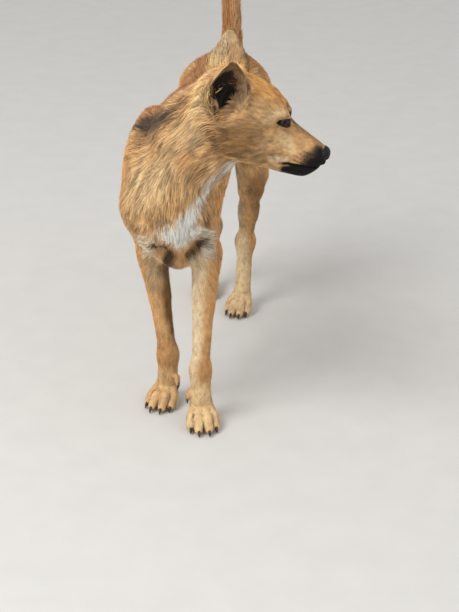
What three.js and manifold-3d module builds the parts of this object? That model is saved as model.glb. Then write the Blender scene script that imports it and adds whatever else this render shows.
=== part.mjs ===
// A life-size standing dog, of the slender short-haired village type, looking round to its left.
// Millimetres, +Z up. The dog faces -Y and its own left is +X. The floor is z = 0.
//
// The body is one smooth surface: lofted trunk and head sections, blended with tapered bones and
// muscles for the neck, limbs and tail. It is meshed part by part and parted by thin flat cuts.
import * as THREE from "three";
import { mergeVertices } from "three/addons/utils/BufferGeometryUtils.js";
import Module from "manifold-3d";

const wasm = await Module();
wasm.setup();

// ---------------------------------------------------------------- driving dimensions

const GAP = 0.3; // clear space between neighbouring parts
const WITHERS = 500; // height of the back over the shoulder blades
const BRISKET = 257; // height of the breastbone between the elbows
const RIB_WIDTH = 146;
const HIP_WIDTH = 144;
const TAIL_TOP = 752;
const EYE_RADIUS = 10.5;
const EAR_THICKNESS = 4.2;

// Where each paw stands, the joints above it, and how far its toes turn out, in degrees.
const LEGS = {
  front_left: { side: 1, paw: [46, -239], turn: 16, wrist: [40, -224, 92], elbow: [38, -170, 276] },
  front_right: { side: -1, paw: [-29, -177], turn: -10, wrist: [-23, -180, 92], elbow: [-50, -166, 276] },
  hind_left: { side: 1, paw: [34, 208], turn: -5, hock: [35, 250, 125], stifle: [58, 172, 290] },
  hind_right: { side: -1, paw: [-40, 271], turn: -6, hock: [-40, 314, 125], stifle: [-60, 200, 284] },
};

// The head's frame starts midway between the inner corners of the eyes.
const HEAD = { at: [178, -255, 543], yaw: 97.6, pitch: 22, roll: 2.5 };

// The trunk's sections along y: top and bottom, half width, height of the widest place, how far
// the middle lies to the left, and how keeled the lower half is. A keel of 2 is an ellipse, less
// is a keel and more is a box. The fore end leans to the right, against the turn of the neck.
const LEAN = -15;
const TRUNK = [
  { at: -272, top: 396, bottom: 360, half: 14, widest: 378, middle: LEAN, keel: 2 },
  { at: -262, top: 424, bottom: 336, half: 36, widest: 380, middle: LEAN, keel: 2 },
  { at: -235, top: 462, bottom: 286, half: 58, widest: 392, middle: LEAN, keel: 1.9 },
  { at: -190, top: 488, bottom: BRISKET + 4, half: RIB_WIDTH / 2 - 4, widest: 404, middle: LEAN, keel: 1.7 },
  { at: -130, top: WITHERS, bottom: BRISKET, half: RIB_WIDTH / 2, widest: 408, middle: LEAN, keel: 1.45 },
  { at: -50, top: 493, bottom: BRISKET + 12, half: RIB_WIDTH / 2 + 1, widest: 416, middle: LEAN, keel: 1.35 },
  { at: 40, top: 487, bottom: 294, half: RIB_WIDTH / 2, widest: 424, middle: LEAN * 0.8, keel: 1.4 },
  { at: 115, top: 489, bottom: 328, half: 66, widest: 428, middle: LEAN * 0.4, keel: 1.6 },
  { at: 185, top: 498, bottom: 352, half: HIP_WIDTH / 2, widest: 438, middle: 0, keel: 2 },
  { at: 235, top: 497, bottom: 376, half: HIP_WIDTH / 2 - 5, widest: 444, middle: 0, keel: 2 },
  { at: 270, top: 482, bottom: 402, half: 46, widest: 443, middle: 0, keel: 2 },
  { at: 290, top: 456, bottom: 426, half: 13, widest: 441, middle: 0, keel: 2 },
];

// The head's sections from behind the ears to the nose, in the head's own frame.
const SKULL = [
  { at: -116, top: -8, bottom: -40, half: 16, widest: -24, keel: 2 },
  { at: -104, top: 8, bottom: -62, half: 36, widest: -24, keel: 2 },
  { at: -80, top: 23, bottom: -82, half: 47, widest: -22, keel: 2 },
  { at: -55, top: 30, bottom: -91, half: 51, widest: -20, keel: 2.4 },
  { at: -32, top: 28, bottom: -92, half: 46, widest: -23, keel: 3 },
  { at: -14, top: 16, bottom: -91, half: 35, widest: -29, keel: 3.1 },
  { at: 0, top: -1, bottom: -89, half: 28, widest: -39, keel: 3 },
  { at: 13, top: -12, bottom: -87, half: 25, widest: -45, keel: 2.8 },
  { at: 35, top: -18, bottom: -84, half: 22.5, widest: -49, keel: 2.6 },
  { at: 54, top: -22, bottom: -79, half: 20.5, widest: -49, keel: 2.4 },
  { at: 67, top: -26, bottom: -66, half: 16.5, widest: -45, keel: 2.1 },
  { at: 74, top: -31, bottom: -50, half: 9, widest: -41, keel: 2 },
];

// ---------------------------------------------------------------- vectors and frames

const add = (a, b) => [a[0] + b[0], a[1] + b[1], a[2] + b[2]];
const sub = (a, b) => [a[0] - b[0], a[1] - b[1], a[2] - b[2]];
const scale = (a, k) => [a[0] * k, a[1] * k, a[2] * k];
const dot = (a, b) => a[0] * b[0] + a[1] * b[1] + a[2] * b[2];
const cross = (a, b) => [
  a[1] * b[2] - a[2] * b[1],
  a[2] * b[0] - a[0] * b[2],
  a[0] * b[1] - a[1] * b[0],
];
const unit = (a) => scale(a, 1 / Math.hypot(...a));
const mix = (a, b, t) => a + (b - a) * t;
const along = (a, b, t) => add(a, scale(sub(b, a), t));
const clamp = (v, low, high) => Math.min(high, Math.max(low, v));
const radians = (degrees) => (degrees * Math.PI) / 180;

// A frame at a point, turned by yaw about Z, then pitched nose down, then rolled left side up.
function frame(at, yaw, pitch = 0, roll = 0) {
  const turn = new THREE.Matrix4().makeRotationZ(radians(yaw));
  turn.multiply(new THREE.Matrix4().makeRotationX(radians(pitch)));
  turn.multiply(new THREE.Matrix4().makeRotationY(radians(-roll)));
  const axis = (x, y, z) => new THREE.Vector3(x, y, z).transformDirection(turn).toArray();
  const [left, forward, up] = [axis(1, 0, 0), axis(0, -1, 0), axis(0, 0, 1)];
  const vector = (f, l, u) => add(scale(forward, f), add(scale(left, l), scale(up, u)));
  return {
    vector,
    out: (f, l, u) => add(at, vector(f, l, u)),
    inward: (p) => [dot(sub(p, at), forward), dot(sub(p, at), left), dot(sub(p, at), up)],
  };
}

const head = frame(HEAD.at, HEAD.yaw, HEAD.pitch, HEAD.roll);

// ---------------------------------------------------------------- distances to simple forms

// Every form carries a ball that holds it, so that far forms are passed over quickly.
const held = (form, centre, radius) => Object.assign(form, { centre, radius });

// A tapered bone from a to b.
function bone(a, b, ra, rb) {
  const [ax, ay, az] = a;
  const [bx, by, bz] = sub(b, a);
  const length2 = Math.max(bx * bx + by * by + bz * bz, 1e-6);
  const form = (p) => {
    const [x, y, z] = [p[0] - ax, p[1] - ay, p[2] - az];
    const t = Math.min(1, Math.max(0, (x * bx + y * by + z * bz) / length2));
    return Math.hypot(x - bx * t, y - by * t, z - bz * t) - (ra + (rb - ra) * t);
  };
  return held(form, along(a, b, 0.5), Math.sqrt(length2) / 2 + Math.max(ra, rb));
}

// A chain of bones through a list of points, each with its radius.
const chain = (k, ...joints) =>
  union(k, ...joints.slice(1).map((j, i) => bone(joints[i].at, j.at, joints[i].r, j.r)));

// An ellipsoid with half sizes along its own axes.
function muscle(centre, sizes, axes = [[1, 0, 0], [0, 1, 0], [0, 0, 1]]) {
  const [u, v, w] = axes.map((axis, i) => scale(axis, 1 / sizes[i]));
  const least = Math.min(...sizes);
  const form = (p) => {
    const d = sub(p, centre);
    const [a, b, c] = [dot(d, u), dot(d, v), dot(d, w)];
    const k = Math.hypot(a, b, c);
    const slope = Math.hypot(a / sizes[0], b / sizes[1], c / sizes[2]);
    return slope > 1e-9 ? (k * (k - 1)) / slope : -least;
  };
  return held(form, centre, Math.max(...sizes));
}

// An ellipsoid stretched between two points, with a thickness across X and one across the rest.
function belly(a, b, thick, wide) {
  const centre = along(a, b, 0.5);
  const long = unit(sub(b, a));
  const deep = unit(cross(long, [1, 0, 0]));
  const reach = Math.hypot(...sub(b, a)) / 2;
  return muscle(centre, [reach, wide, thick], [long, deep, cross(long, deep)]);
}

// Forms run into each other over about the blend distance.
const blend = (a, b, k) => {
  const h = Math.max(k - Math.abs(a - b), 0) / k;
  return Math.min(a, b) - h * h * k * 0.25;
};
function union(k, ...forms) {
  const centre = scale(forms.map((form) => form.centre).reduce(add), 1 / forms.length);
  const spans = forms.map((form) => Math.hypot(...sub(form.centre, centre)) + form.radius);
  const whole = (p) => {
    let d = 1e3;
    for (const form of forms) {
      const [x, y, z] = form.centre;
      const least = Math.hypot(p[0] - x, p[1] - y, p[2] - z) - form.radius;
      if (least < d + k) d = blend(d, form(p), k);
    }
    return d;
  };
  return held(whole, centre, Math.max(...spans) + k / 4);
}
const carve = (k, form, hollow) =>
  held((p) => -blend(-form(p), hollow(p), k), form.centre, form.radius);

// Smooth interpolation of every size in a list of stations.
function stationAt(stations, t) {
  const last = stations.length - 1;
  let i = 0;
  while (i < last - 1 && t > stations[i + 1].at) i += 1;
  const [p1, p2] = [stations[i], stations[i + 1]];
  const [p0, p3] = [stations[Math.max(i - 1, 0)], stations[Math.min(i + 2, last)]];
  const span = p2.at - p1.at;
  const s = clamp((t - p1.at) / span, 0, 1);
  const found = {};
  for (const key of Object.keys(p1)) {
    const m1 = ((p2[key] - p0[key]) / (p2.at - p0.at)) * span;
    const m2 = ((p3[key] - p1[key]) / (p3.at - p1.at)) * span;
    const ends = p1[key] + (p2[key] - p1[key]) * s * s * (3 - 2 * s);
    found[key] = ends + m1 * s * (1 - s) * (1 - s) - m2 * s * s * (1 - s);
  }
  return found;
}

// Distance to a loft: t runs along it, x across it and z up its section.
function loft(stations, pick, centre, radius) {
  const [first, last] = [stations[0].at, stations[stations.length - 1].at];
  const fine = Array.from({ length: 401 }, (_, i) => stationAt(stations, mix(first, last, i / 400)));
  const form = (p) => {
    const [t, x, z] = pick(p);
    const s = fine[Math.round((400 * (clamp(t, first, last) - first)) / (last - first))];
    const above = z > s.widest;
    const height = above ? s.top - s.widest : s.widest - s.bottom;
    const power = above ? 2.1 : s.keel;
    const rise = z - s.widest;
    const off = x - (s.middle || 0);
    const k = ((Math.abs(off) / s.half) ** power + (Math.abs(rise) / height) ** power) ** (1 / power);
    const radial = k > 0.05 ? Math.hypot(off, rise) * (1 - 1 / k) : -Math.min(s.half, height);
    const beyond = Math.max(first - t, t - last, 0);
    return beyond > 0 ? Math.hypot(Math.max(radial, 0), beyond) : radial;
  };
  return held(form, centre, radius);
}

// ---------------------------------------------------------------- the head

const inHead = (form) => held((p) => form(head.inward(p)), head.out(...form.centre), form.radius);
const bothSides = (build) => union(0.01, build(1), build(-1));

const cheek = bothSides((s) => muscle([-58, s * 33, -48], [34, 20, 34]));
const arch = bothSides((s) => bone([-10, s * 29, -25], [-62, s * 43, -20], 8, 9));
const brow = bothSides((s) => muscle([-20, s * 21, 6.5], [15, 12, 7.5]));
const lipPad = bothSides((s) => muscle([53, s * 9, -45], [19, 12, 14]));
const earRoot = bothSides((s) => muscle([-93, s * 36, 0], [22, 14, 22]));
const bridge = bone([2, 0, -15], [66, 0, -33], 10, 8);
const chin = bone([10, 0, -74], [53, 0, -70], 13, 8.5);
const socket = bothSides((s) => muscle([-1, s * 35, -8], [13, 7, 9]));
const concha = bothSides((s) => muscle([-91, s * 50, 4], [13, 13, 27]));
const furrow = bone([-40, 0, 36], [2, 0, 8], 7, 6);

const skull = union(
  9,
  loft(SKULL, (p) => p, [-20, 0, -30], 120),
  cheek,
  arch,
  brow,
  lipPad,
  earRoot,
  bridge,
  chin,
);
const headForm = inHead(carve(10, carve(8, skull, socket), furrow));
const earHollows = inHead(concha);

// The nose leather, with a comma-shaped nostril on each side.
const nosePad = union(
  4,
  muscle([70, 0, -33], [10.5, 13, 11]),
  bothSides((s) => muscle([71, s * 8, -34], [8.5, 6.5, 7.5])),
);
const nostril = bothSides((s) => bone([81, s * 5.5, -31.5], [75, s * 15, -35], 2.6, 1.6));
const noseForm = inHead(carve(1.5, nosePad, nostril));

// ---------------------------------------------------------------- the limbs and tail

// A paw stands in its own frame: forward along its toes, left, and up from the floor.
const TOES = [-1.5, -0.5, 0.5, 1.5];
const toeReach = (toe) => (Math.abs(toe) > 1 ? 22 : 34);
const toeSpread = (leg, toe) => toe * (Math.abs(toe) > 1 ? 12.8 : 15.8) * (leg.wrist ? 1 : 0.9);

function pawFrame(leg) {
  return frame([leg.paw[0], leg.paw[1], 0], leg.turn);
}

function pawForm(leg) {
  const foot = pawFrame(leg);
  const forms = [];
  for (const toe of TOES) {
    const [reach, across] = [toeReach(toe), toeSpread(leg, toe)];
    const knuckle = foot.out(reach - 15, across * 0.93, 20);
    const tip = foot.out(reach + 1, across * 1.06, 9.5);
    forms.push(bone(foot.out(-11, across * 0.5, 27), knuckle, 9.8, 9.1));
    forms.push(bone(knuckle, tip, 9.1, 8.1));
    forms.push(bone(foot.out(reach - 4, across * 1.04, 5.4), tip, 6.8, 6.3));
  }
  forms.push(bone(foot.out(-16, 0, 9), foot.out(-4, 0, 8), 12, 12.5));
  return union(4, ...forms);
}

// The middle line of a toe's claw, from inside the toe to its point, with its radii.
function clawLine(leg, toe) {
  const foot = pawFrame(leg);
  const [reach, across] = [toeReach(toe), toeSpread(leg, toe)];
  return [
    { at: foot.out(reach, across * 1.06, 10), r: 3.8 },
    { at: foot.out(reach + 8.5, across * 1.08, 9.5), r: 3.4 },
    { at: foot.out(reach + 12.5, across * 1.1, 5.5), r: 2.5 },
    { at: foot.out(reach + 14, across * 1.11, 2), r: 0.9 },
  ];
}

function foreleg(leg) {
  const s = leg.side;
  const [paw, wrist, elbow] = [pawFrame(leg), leg.wrist, leg.elbow];
  const shoulder = [s * 45 + LEAN, -224, 370];
  const root = paw.out(-13, 0, 31);
  return {
    limb: union(
      12,
      bone(shoulder, elbow, 25, 24),
      belly([s * 47 + LEAN, -130, 452], add(elbow, [s * 1, 4, -14]), 20, 42),
      bone(add(elbow, [0, 18, 8]), add(elbow, [0, 2, -34]), 11, 15),
      bone(elbow, wrist, 21, 14.2),
      bone(add(elbow, [s * 3, -8, -10]), along(elbow, wrist, 0.45), 19, 15),
      muscle(wrist, [14.4, 14.8, 23]),
      bone(wrist, root, 15.6, 17.2),
      bone(add(wrist, [0, 13, -12]), add(wrist, [0, 10, -22]), 7, 6),
    ),
    blade: belly([s * 46 + LEAN, -108, 488], [s * 54 + LEAN, -240, 350], 20, 54),
    paw: pawForm(leg),
    dewclaw: dewclawAxis(leg),
  };
}

// The dewclaw lies on the inner side of the pastern, pointing down and forward.
function dewclawAxis(leg) {
  const root = add(leg.wrist, [-leg.side * 16, -4, -38]);
  const tip = add(root, [-leg.side * 3.5, -6, -11]);
  return { root, tip, point: add(tip, [leg.side * 1, -5, -7]) };
}

function hindLeg(leg) {
  const s = leg.side;
  const [paw, hock, stifle] = [pawFrame(leg), leg.hock, leg.stifle];
  const hip = [s * 40, 218, 430];
  const seat = [s * 38, 268, 428];
  const root = paw.out(-15, 0, 32);
  const heel = add(hock, [0, 19, 14]);
  return {
    limb: union(
      14,
      bone(add(hip, [0, -8, 0]), stifle, 44, 29),
      bone(seat, along(stifle, hock, 0.22), 31, 22),
      belly([s * 36, 160, 430], add(stifle, [0, -16, -8]), 24, 36),
      bone(stifle, along(stifle, hock, 0.6), 23, 16),
      bone(along(stifle, hock, 0.5), hock, 17, 14),
      bone(along(seat, stifle, 0.75), heel, 14, 7.5),
      bone(heel, hock, 8.5, 14.5),
      muscle(hock, [14.5, 15, 18]),
      bone(hock, root, 14.5, 15.5),
    ),
    paw: pawForm(leg),
  };
}

const limbs = {
  front_left: foreleg(LEGS.front_left),
  front_right: foreleg(LEGS.front_right),
  hind_left: hindLeg(LEGS.hind_left),
  hind_right: hindLeg(LEGS.hind_right),
};

const tail = chain(
  14,
  { at: [0, 258, 462], r: 25 },
  { at: [-3, 290, 506], r: 19.5 },
  { at: [-6, 300, 560], r: 17 },
  { at: [-7, 301, 640], r: 16.5 },
  { at: [-5, 291, 700], r: 14.5 },
  { at: [-2, 272, TAIL_TOP - 6], r: 6 },
);

// ---------------------------------------------------------------- the whole dog

const neckJoint = head.out(-94, 0, -18);
const neck = chain(
  30,
  { at: [-7, -140, 424], r: 79 },
  { at: [31, -212, 486], r: 63 },
  { at: neckJoint, r: 50 },
);
const throat = bone([6, -232, 402], head.out(-72, 0, -46), 46, 38);
const breastbone = muscle([5, -198, 286], [20, 38, 25]);

const trunkAndNeck = union(
  26,
  loft(TRUNK, (p) => [p[1], p[0], p[2]], [0, 10, 390], 310),
  neck,
  throat,
  breastbone,
  limbs.front_left.blade,
  limbs.front_right.blade,
  tail,
);
const torso = union(24, trunkAndNeck, headForm);
const limbForms = Object.values(limbs).map((l) => union(7, l.limb, l.paw));
const dewToes = ["front_left", "front_right"].map((name) => {
  const { root, tip } = limbs[name].dewclaw;
  return bone(root, tip, 6.4, 4.8);
});
const bodyWithLimbs = union(20, torso, ...limbForms);
const dog = carve(5, union(5, bodyWithLimbs, ...dewToes), earHollows);

// ---------------------------------------------------------------- meshing

const toManifold = (geometry) =>
  new wasm.Manifold(
    new wasm.Mesh({
      numProp: 3,
      vertProperties: new Float32Array(geometry.attributes.position.array),
      triVerts: new Uint32Array(geometry.index.array),
    }),
  );

function fromManifold(solid) {
  const mesh = solid.getMesh();
  const corners = new Float32Array((mesh.vertProperties.length / mesh.numProp) * 3);
  for (let i = 0; i < corners.length / 3; i += 1) {
    for (let k = 0; k < 3; k += 1) corners[i * 3 + k] = mesh.vertProperties[i * mesh.numProp + k];
  }
  const geometry = new THREE.BufferGeometry();
  geometry.setAttribute("position", new THREE.BufferAttribute(corners, 3));
  geometry.setIndex(new THREE.BufferAttribute(new Uint32Array(mesh.triVerts), 1));
  return geometry;
}

function geometryOf(points, faces) {
  const geometry = new THREE.BufferGeometry();
  geometry.setAttribute("position", new THREE.BufferAttribute(new Float32Array(points.flat()), 3));
  geometry.setIndex(faces.flat());
  return geometry;
}

function slopeAt(form, p, step = 0.5) {
  return [0, 1, 2].map((k) => {
    const shift = [0, 0, 0];
    shift[k] = step;
    return (form(add(p, shift)) - form(sub(p, shift))) / (2 * step);
  });
}

// Moves a point straight onto the form's surface.
function settle(form, p) {
  let q = p;
  for (let pass = 0; pass < 3; pass += 1) {
    const g = slopeAt(form, q);
    q = sub(q, scale(g, form(q) / Math.max(dot(g, g), 0.2)));
  }
  return q;
}

// Meshes a form inside a box with cells of about one size, as a net of evenly spread corners.
function netOf(form, low, high, cell, phase) {
  const count = [0, 1, 2].map((k) => Math.ceil((high[k] - low[k]) / cell) + 3);
  const start = [0, 1, 2].map((k) => low[k] - cell * (1 + ((phase * (k + 1)) % 1)));
  const at = (i, j, k) => [start[0] + i * cell, start[1] + j * cell, start[2] + k * cell];
  const index = (i, j, k) => (k * count[1] + j) * count[0] + i;
  const inBox = (p) => Math.max(...[0, 1, 2].map((k) => Math.max(low[k] - p[k], p[k] - high[k])));
  const field = new Float32Array(count[0] * count[1] * count[2]);
  for (let k = 0; k < count[2]; k += 1) {
    for (let j = 0; j < count[1]; j += 1) {
      for (let i = 0; i < count[0]; i += 1) {
        const p = at(i, j, k);
        field[index(i, j, k)] = Math.max(form(p), inBox(p)) || 1e-4;
      }
    }
  }
  // The crossed edges of one cell, gathered into the separate sheets that pass through it.
  const sheetsOf = (i, j, k) => {
    const value = (a) => field[index(i + a[0], j + a[1], k + a[2])];
    const joined = Array.from({ length: 12 }, (_, e) => e);
    const rootOf = (e) => (joined[e] === e ? e : rootOf(joined[e]));
    const join = (e, f) => (joined[rootOf(e)] = rootOf(f));
    for (let n = 0; n < 3; n += 1) {
      const [u, v] = [(n + 1) % 3, (n + 2) % 3];
      for (let s = 0; s < 2; s += 1) {
        const inside = (a, b) => {
          const c = [0, 0, 0];
          [c[n], c[u], c[v]] = [s, a, b];
          return value(c) < 0;
        };
        const sides = [
          { edge: u * 4 + 2 * s, cut: inside(0, 0) !== inside(1, 0) },
          { edge: v * 4 + s, cut: inside(0, 0) !== inside(0, 1) },
          { edge: u * 4 + 1 + 2 * s, cut: inside(0, 1) !== inside(1, 1) },
          { edge: v * 4 + s + 2, cut: inside(1, 0) !== inside(1, 1) },
        ];
        const cut = sides.filter((side) => side.cut).map((side) => side.edge);
        if (cut.length === 2) join(cut[0], cut[1]);
        if (cut.length === 4 && inside(0, 0)) [join(cut[0], cut[1]), join(cut[2], cut[3])];
        if (cut.length === 4 && !inside(0, 0)) [join(cut[0], cut[3]), join(cut[1], cut[2])];
      }
    }
    return joined.map((_, e) => rootOf(e));
  };
  const corner = new Map();
  const points = [];
  const cornerOf = (i, j, k, edge) => {
    const cellKey = index(i, j, k);
    if (!corner.has(cellKey)) {
      const sheets = sheetsOf(i, j, k);
      const found = new Map();
      for (let e = 0; e < 12; e += 1) {
        const [axis, side] = [e >> 2, e & 3];
        const a = [i, j, k];
        a[(axis + 1) % 3] += side & 1;
        a[(axis + 2) % 3] += side >> 1;
        const b = [...a];
        b[axis] += 1;
        const [fa, fb] = [field[index(...a)], field[index(...b)]];
        if (fa < 0 === fb < 0) continue;
        if (!found.has(sheets[e])) found.set(sheets[e], []);
        found.get(sheets[e]).push(along(at(...a), at(...b), fa / (fa - fb)));
      }
      const places = new Map();
      for (const [sheet, crossings] of found) {
        places.set(sheet, points.length);
        points.push(scale(crossings.reduce(add), 1 / crossings.length));
      }
      corner.set(cellKey, sheets.map((sheet) => places.get(sheet)));
    }
    return corner.get(cellKey)[edge];
  };
  const quads = [];
  for (let k = 1; k < count[2] - 1; k += 1) {
    for (let j = 1; j < count[1] - 1; j += 1) {
      for (let i = 1; i < count[0] - 1; i += 1) {
        const here = field[index(i, j, k)] < 0;
        for (let axis = 0; axis < 3; axis += 1) {
          const next = [i, j, k];
          next[axis] += 1;
          if (here === field[index(...next)] < 0) continue;
          const ring = [[0, 0], [1, 0], [1, 1], [0, 1]].map(([u, v]) => {
            const c = [i, j, k];
            c[(axis + 1) % 3] -= u;
            c[(axis + 2) % 3] -= v;
            return cornerOf(...c, axis * 4 + u + 2 * v);
          });
          quads.push(here ? ring : ring.reverse());
        }
      }
    }
  }
  const sides = quads.flatMap((q) => q.map((v, i) => `${v} ${q[(i + 1) % 4]}`));
  const clean = new Set(sides).size === sides.length;
  return { points, quads, clean, free: (p) => inBox(p) < -cell * 0.6 };
}

// Evens the net out along the surface, then splits each quad along its shorter diagonal.
function relax(form, net, passes) {
  const around = net.points.map(() => []);
  for (const q of net.quads) {
    q.forEach((v, i) => around[v].push(q[(i + 1) % 4], q[(i + 3) % 4]));
  }
  for (let pass = 0; pass <= passes; pass += 1) {
    const moved = net.points.map((p, i) => {
      if (!net.free(p)) return p;
      const middle = scale(around[i].map((j) => net.points[j]).reduce(add), 1 / around[i].length);
      return settle(form, pass < passes ? along(p, middle, 0.5) : p);
    });
    moved.forEach((p, i) => (net.points[i] = p));
  }
  const faces = [];
  const taken = new Set(net.quads.flatMap((q) => q.map((v, i) => `${v} ${q[(i + 1) % 4]}`)));
  const apart = (a, b) => Math.hypot(...sub(net.points[a], net.points[b]));
  for (const [a, b, c, d] of net.quads) {
    const short = apart(a, c) < apart(b, d) ? !taken.has(`${a} ${c}`) : taken.has(`${b} ${d}`);
    const [p, q] = short ? [a, c] : [b, d];
    taken.add(`${p} ${q}`).add(`${q} ${p}`);
    if (short) faces.push([a, b, c], [a, c, d]);
    else faces.push([b, c, d], [b, d, a]);
  }
  return geometryOf(net.points, faces);
}

// The net's grid is shifted a little until no four faces share a side.
function solidOf(form, low, high, cell, passes = 3) {
  for (let phase = 0.03; phase < 1; phase += 0.0625) {
    const net = netOf(form, low, high, cell, phase);
    if (net.clean) return toManifold(relax(form, net, passes));
  }
  throw new Error(`no clean net at cell ${cell}`);
}

// ---------------------------------------------------------------- regions and cuts

const REACH = 1500;

// Half of space on the inner side of a plane: a great box with one face on the plane.
function halfSpace(point, normal, inset) {
  const geometry = new THREE.BoxGeometry(2 * REACH, 2 * REACH, 2 * REACH);
  const n = unit(normal);
  const turn = new THREE.Quaternion().setFromUnitVectors(
    new THREE.Vector3(0, 0, 1),
    new THREE.Vector3(...n),
  );
  geometry.applyQuaternion(turn);
  geometry.translate(...add(point, scale(n, REACH + inset)));
  geometry.deleteAttribute("normal");
  geometry.deleteAttribute("uv");
  return toManifold(mergeVertices(geometry, 1e-4));
}

const everywhere = () => {
  const box = new THREE.BoxGeometry(900, 1100, 900);
  box.translate(0, 0, 450);
  box.deleteAttribute("normal");
  box.deleteAttribute("uv");
  return toManifold(mergeVertices(box, 1e-4));
};

// A region keeps what lies on the positive side of all its planes.
const region = (planes, inset = GAP / 2) =>
  planes.reduce((solid, [p, n]) => solid.intersect(halfSpace(p, n, inset)), everywhere());
const flip = ([p, n]) => [p, scale(n, -1)];

// The planes where one part meets the next.
const FLOOR = [[0, 0, -GAP / 2], [0, 0, 1]];
const occiput = [head.out(-101, 0, 0), head.vector(1, 0, 0.3)];
const underJaw = [head.out(0, 0, -104), head.vector(0, 0, 1)];
const farCheek = [head.out(0, 74, 0), head.vector(0, -1, 0)];
const collar = [[0, -198, 452], [0.12, -0.63, 0.77]];
const lastRib = [[0, 52, 400], [0, 1, 0.12]];
const loins = [[0, 138, 420], [0, 1, -0.1]];
const dock = [[0, 276, 488], [0, 0.5, 0.87]];
const tailCuts = [[[0, 300, 585], [0, 0, 1]], [[3, 299, 668], [0.02, -0.15, 1]]];

function legPlanes(name) {
  const leg = LEGS[name];
  const [s, front] = [leg.side, name.startsWith("front")];
  const joint = front ? leg.wrist : leg.hock;
  const upper = front ? leg.elbow : leg.stifle;
  const towards = unit(sub(upper, joint));
  const flank = front
    ? [[s * 44, 0, 300], [s, 0, -0.22]]
    : [[s * 34, 0, 392], [s, 0, -0.5]];
  return {
    flank,
    crown: front ? [[0, -180, 446], [0, 0, -1]] : [[0, 200, 466], [0, -0.1, -1]],
    rear: front ? [[0, -112, 330], [0, -1, 0.15]] : [[0, 118, 330], [0, 1, 0.25]],
    middle: front
      ? [[0, upper[1], 256], [0, -0.12, 1]]
      : [add(upper, [0, 10, -14]), unit(add(towards, [0, 0, 0.4]))],
    ankle: front ? [[0, 0, 116], [0, 0, 1]] : [[0, 0, 152], [0, 0, 1]],
    foot: [[0, 0, 36], [0, 0, 1]],
    midline: [[0, 0, 0], [s, 0, 0]],
  };
}

const parts = {};

function keep(name, solid) {
  parts[name] = solid;
}

const boxRound = (p, reach) => [p.map((v) => v - reach), p.map((v) => v + reach)];

// One part of the body: the dog's surface inside a region.
function bodyPart(name, planes, cell, cutAway = [], form = dog) {
  let area = region(planes);
  for (const other of cutAway) area = area.subtract(other);
  const box = area.intersect(bounds);
  const { min, max } = box.boundingBox();
  const margin = cell * 1.6;
  const [low, high] = [min.map((v) => v - margin), max.map((v) => v + margin)];
  const whole = solidOf(form, low, high, cell);
  keep(name, largest(whole.intersect(area)));
}

// Nothing of the dog lies outside this box.
const bounds = (() => {
  const box = new THREE.BoxGeometry(360, 720, 780);
  box.translate(80, 5, 389);
  box.deleteAttribute("normal");
  box.deleteAttribute("uv");
  return toManifold(mergeVertices(box, 1e-4));
})();

// Fore and hind limbs lie on either side of this plane.
const FORE_SIDE = [[0, -20, 0], [0, -1, 0]];
const HIND_SIDE = [[0, 60, 0], [0, 1, 0]];
const sideOf = (name) => (name.startsWith("front") ? FORE_SIDE : HIND_SIDE);

const legRegions = [];
for (const [name, leg] of Object.entries(LEGS)) {
  const cuts = legPlanes(name);
  const upper = [cuts.flank, cuts.crown, cuts.rear, cuts.middle];
  const below = [cuts.midline, sideOf(name)];
  legRegions.push(region(upper, -GAP / 2));
  legRegions.push(region([flip(cuts.middle)], -GAP / 2).intersect(region(below, 0)));
  const [first, second, third] = leg.wrist
    ? ["upper_arm", "forearm", "pastern"]
    : ["thigh", "shank", "metatarsus"];
  bodyPart(`${first}_${name}`, upper, 26);
  bodyPart(`${second}_${name}`, [flip(cuts.middle), cuts.ankle, ...below], 19.5);
  bodyPart(`${third}_${name}`, [flip(cuts.ankle), cuts.foot, ...below], 16);
  bodyPart(`paw_${name}`, [flip(cuts.foot), FLOOR, ...below], 9.2);
}

bodyPart("chest", [flip(collar), flip(lastRib)], 31, legRegions);
bodyPart("loin", [lastRib, flip(loins)], 29, legRegions);
bodyPart("rump", [loins, flip(dock)], 26, legRegions);
bodyPart("tail_base", [dock, flip(tailCuts[0])], 19);
bodyPart("tail_middle", [tailCuts[0], flip(tailCuts[1])], 18);
bodyPart("tail_tip", [tailCuts[1], [[0, 200, 0], [0, 1, 0]]], 13);
bodyPart("neck", [collar, flip(occiput)], 25, legRegions);
bodyPart("head", [occiput, underJaw, farCheek], 11.4);

// ---------------------------------------------------------------- small parts

// A solid grown outward all over, for cutting a clear socket round it.
function grown(solid, by = 0.45) {
  const geometry = mergeVertices(fromManifold(solid), 1e-4);
  geometry.computeVertexNormals();
  const [place, normal] = [geometry.attributes.position, geometry.attributes.normal];
  for (let i = 0; i < place.count; i += 1) {
    place.setX(i, place.getX(i) + by * normal.getX(i));
    place.setY(i, place.getY(i) + by * normal.getY(i));
    place.setZ(i, place.getZ(i) + by * normal.getZ(i));
  }
  return toManifold(geometry);
}

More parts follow.
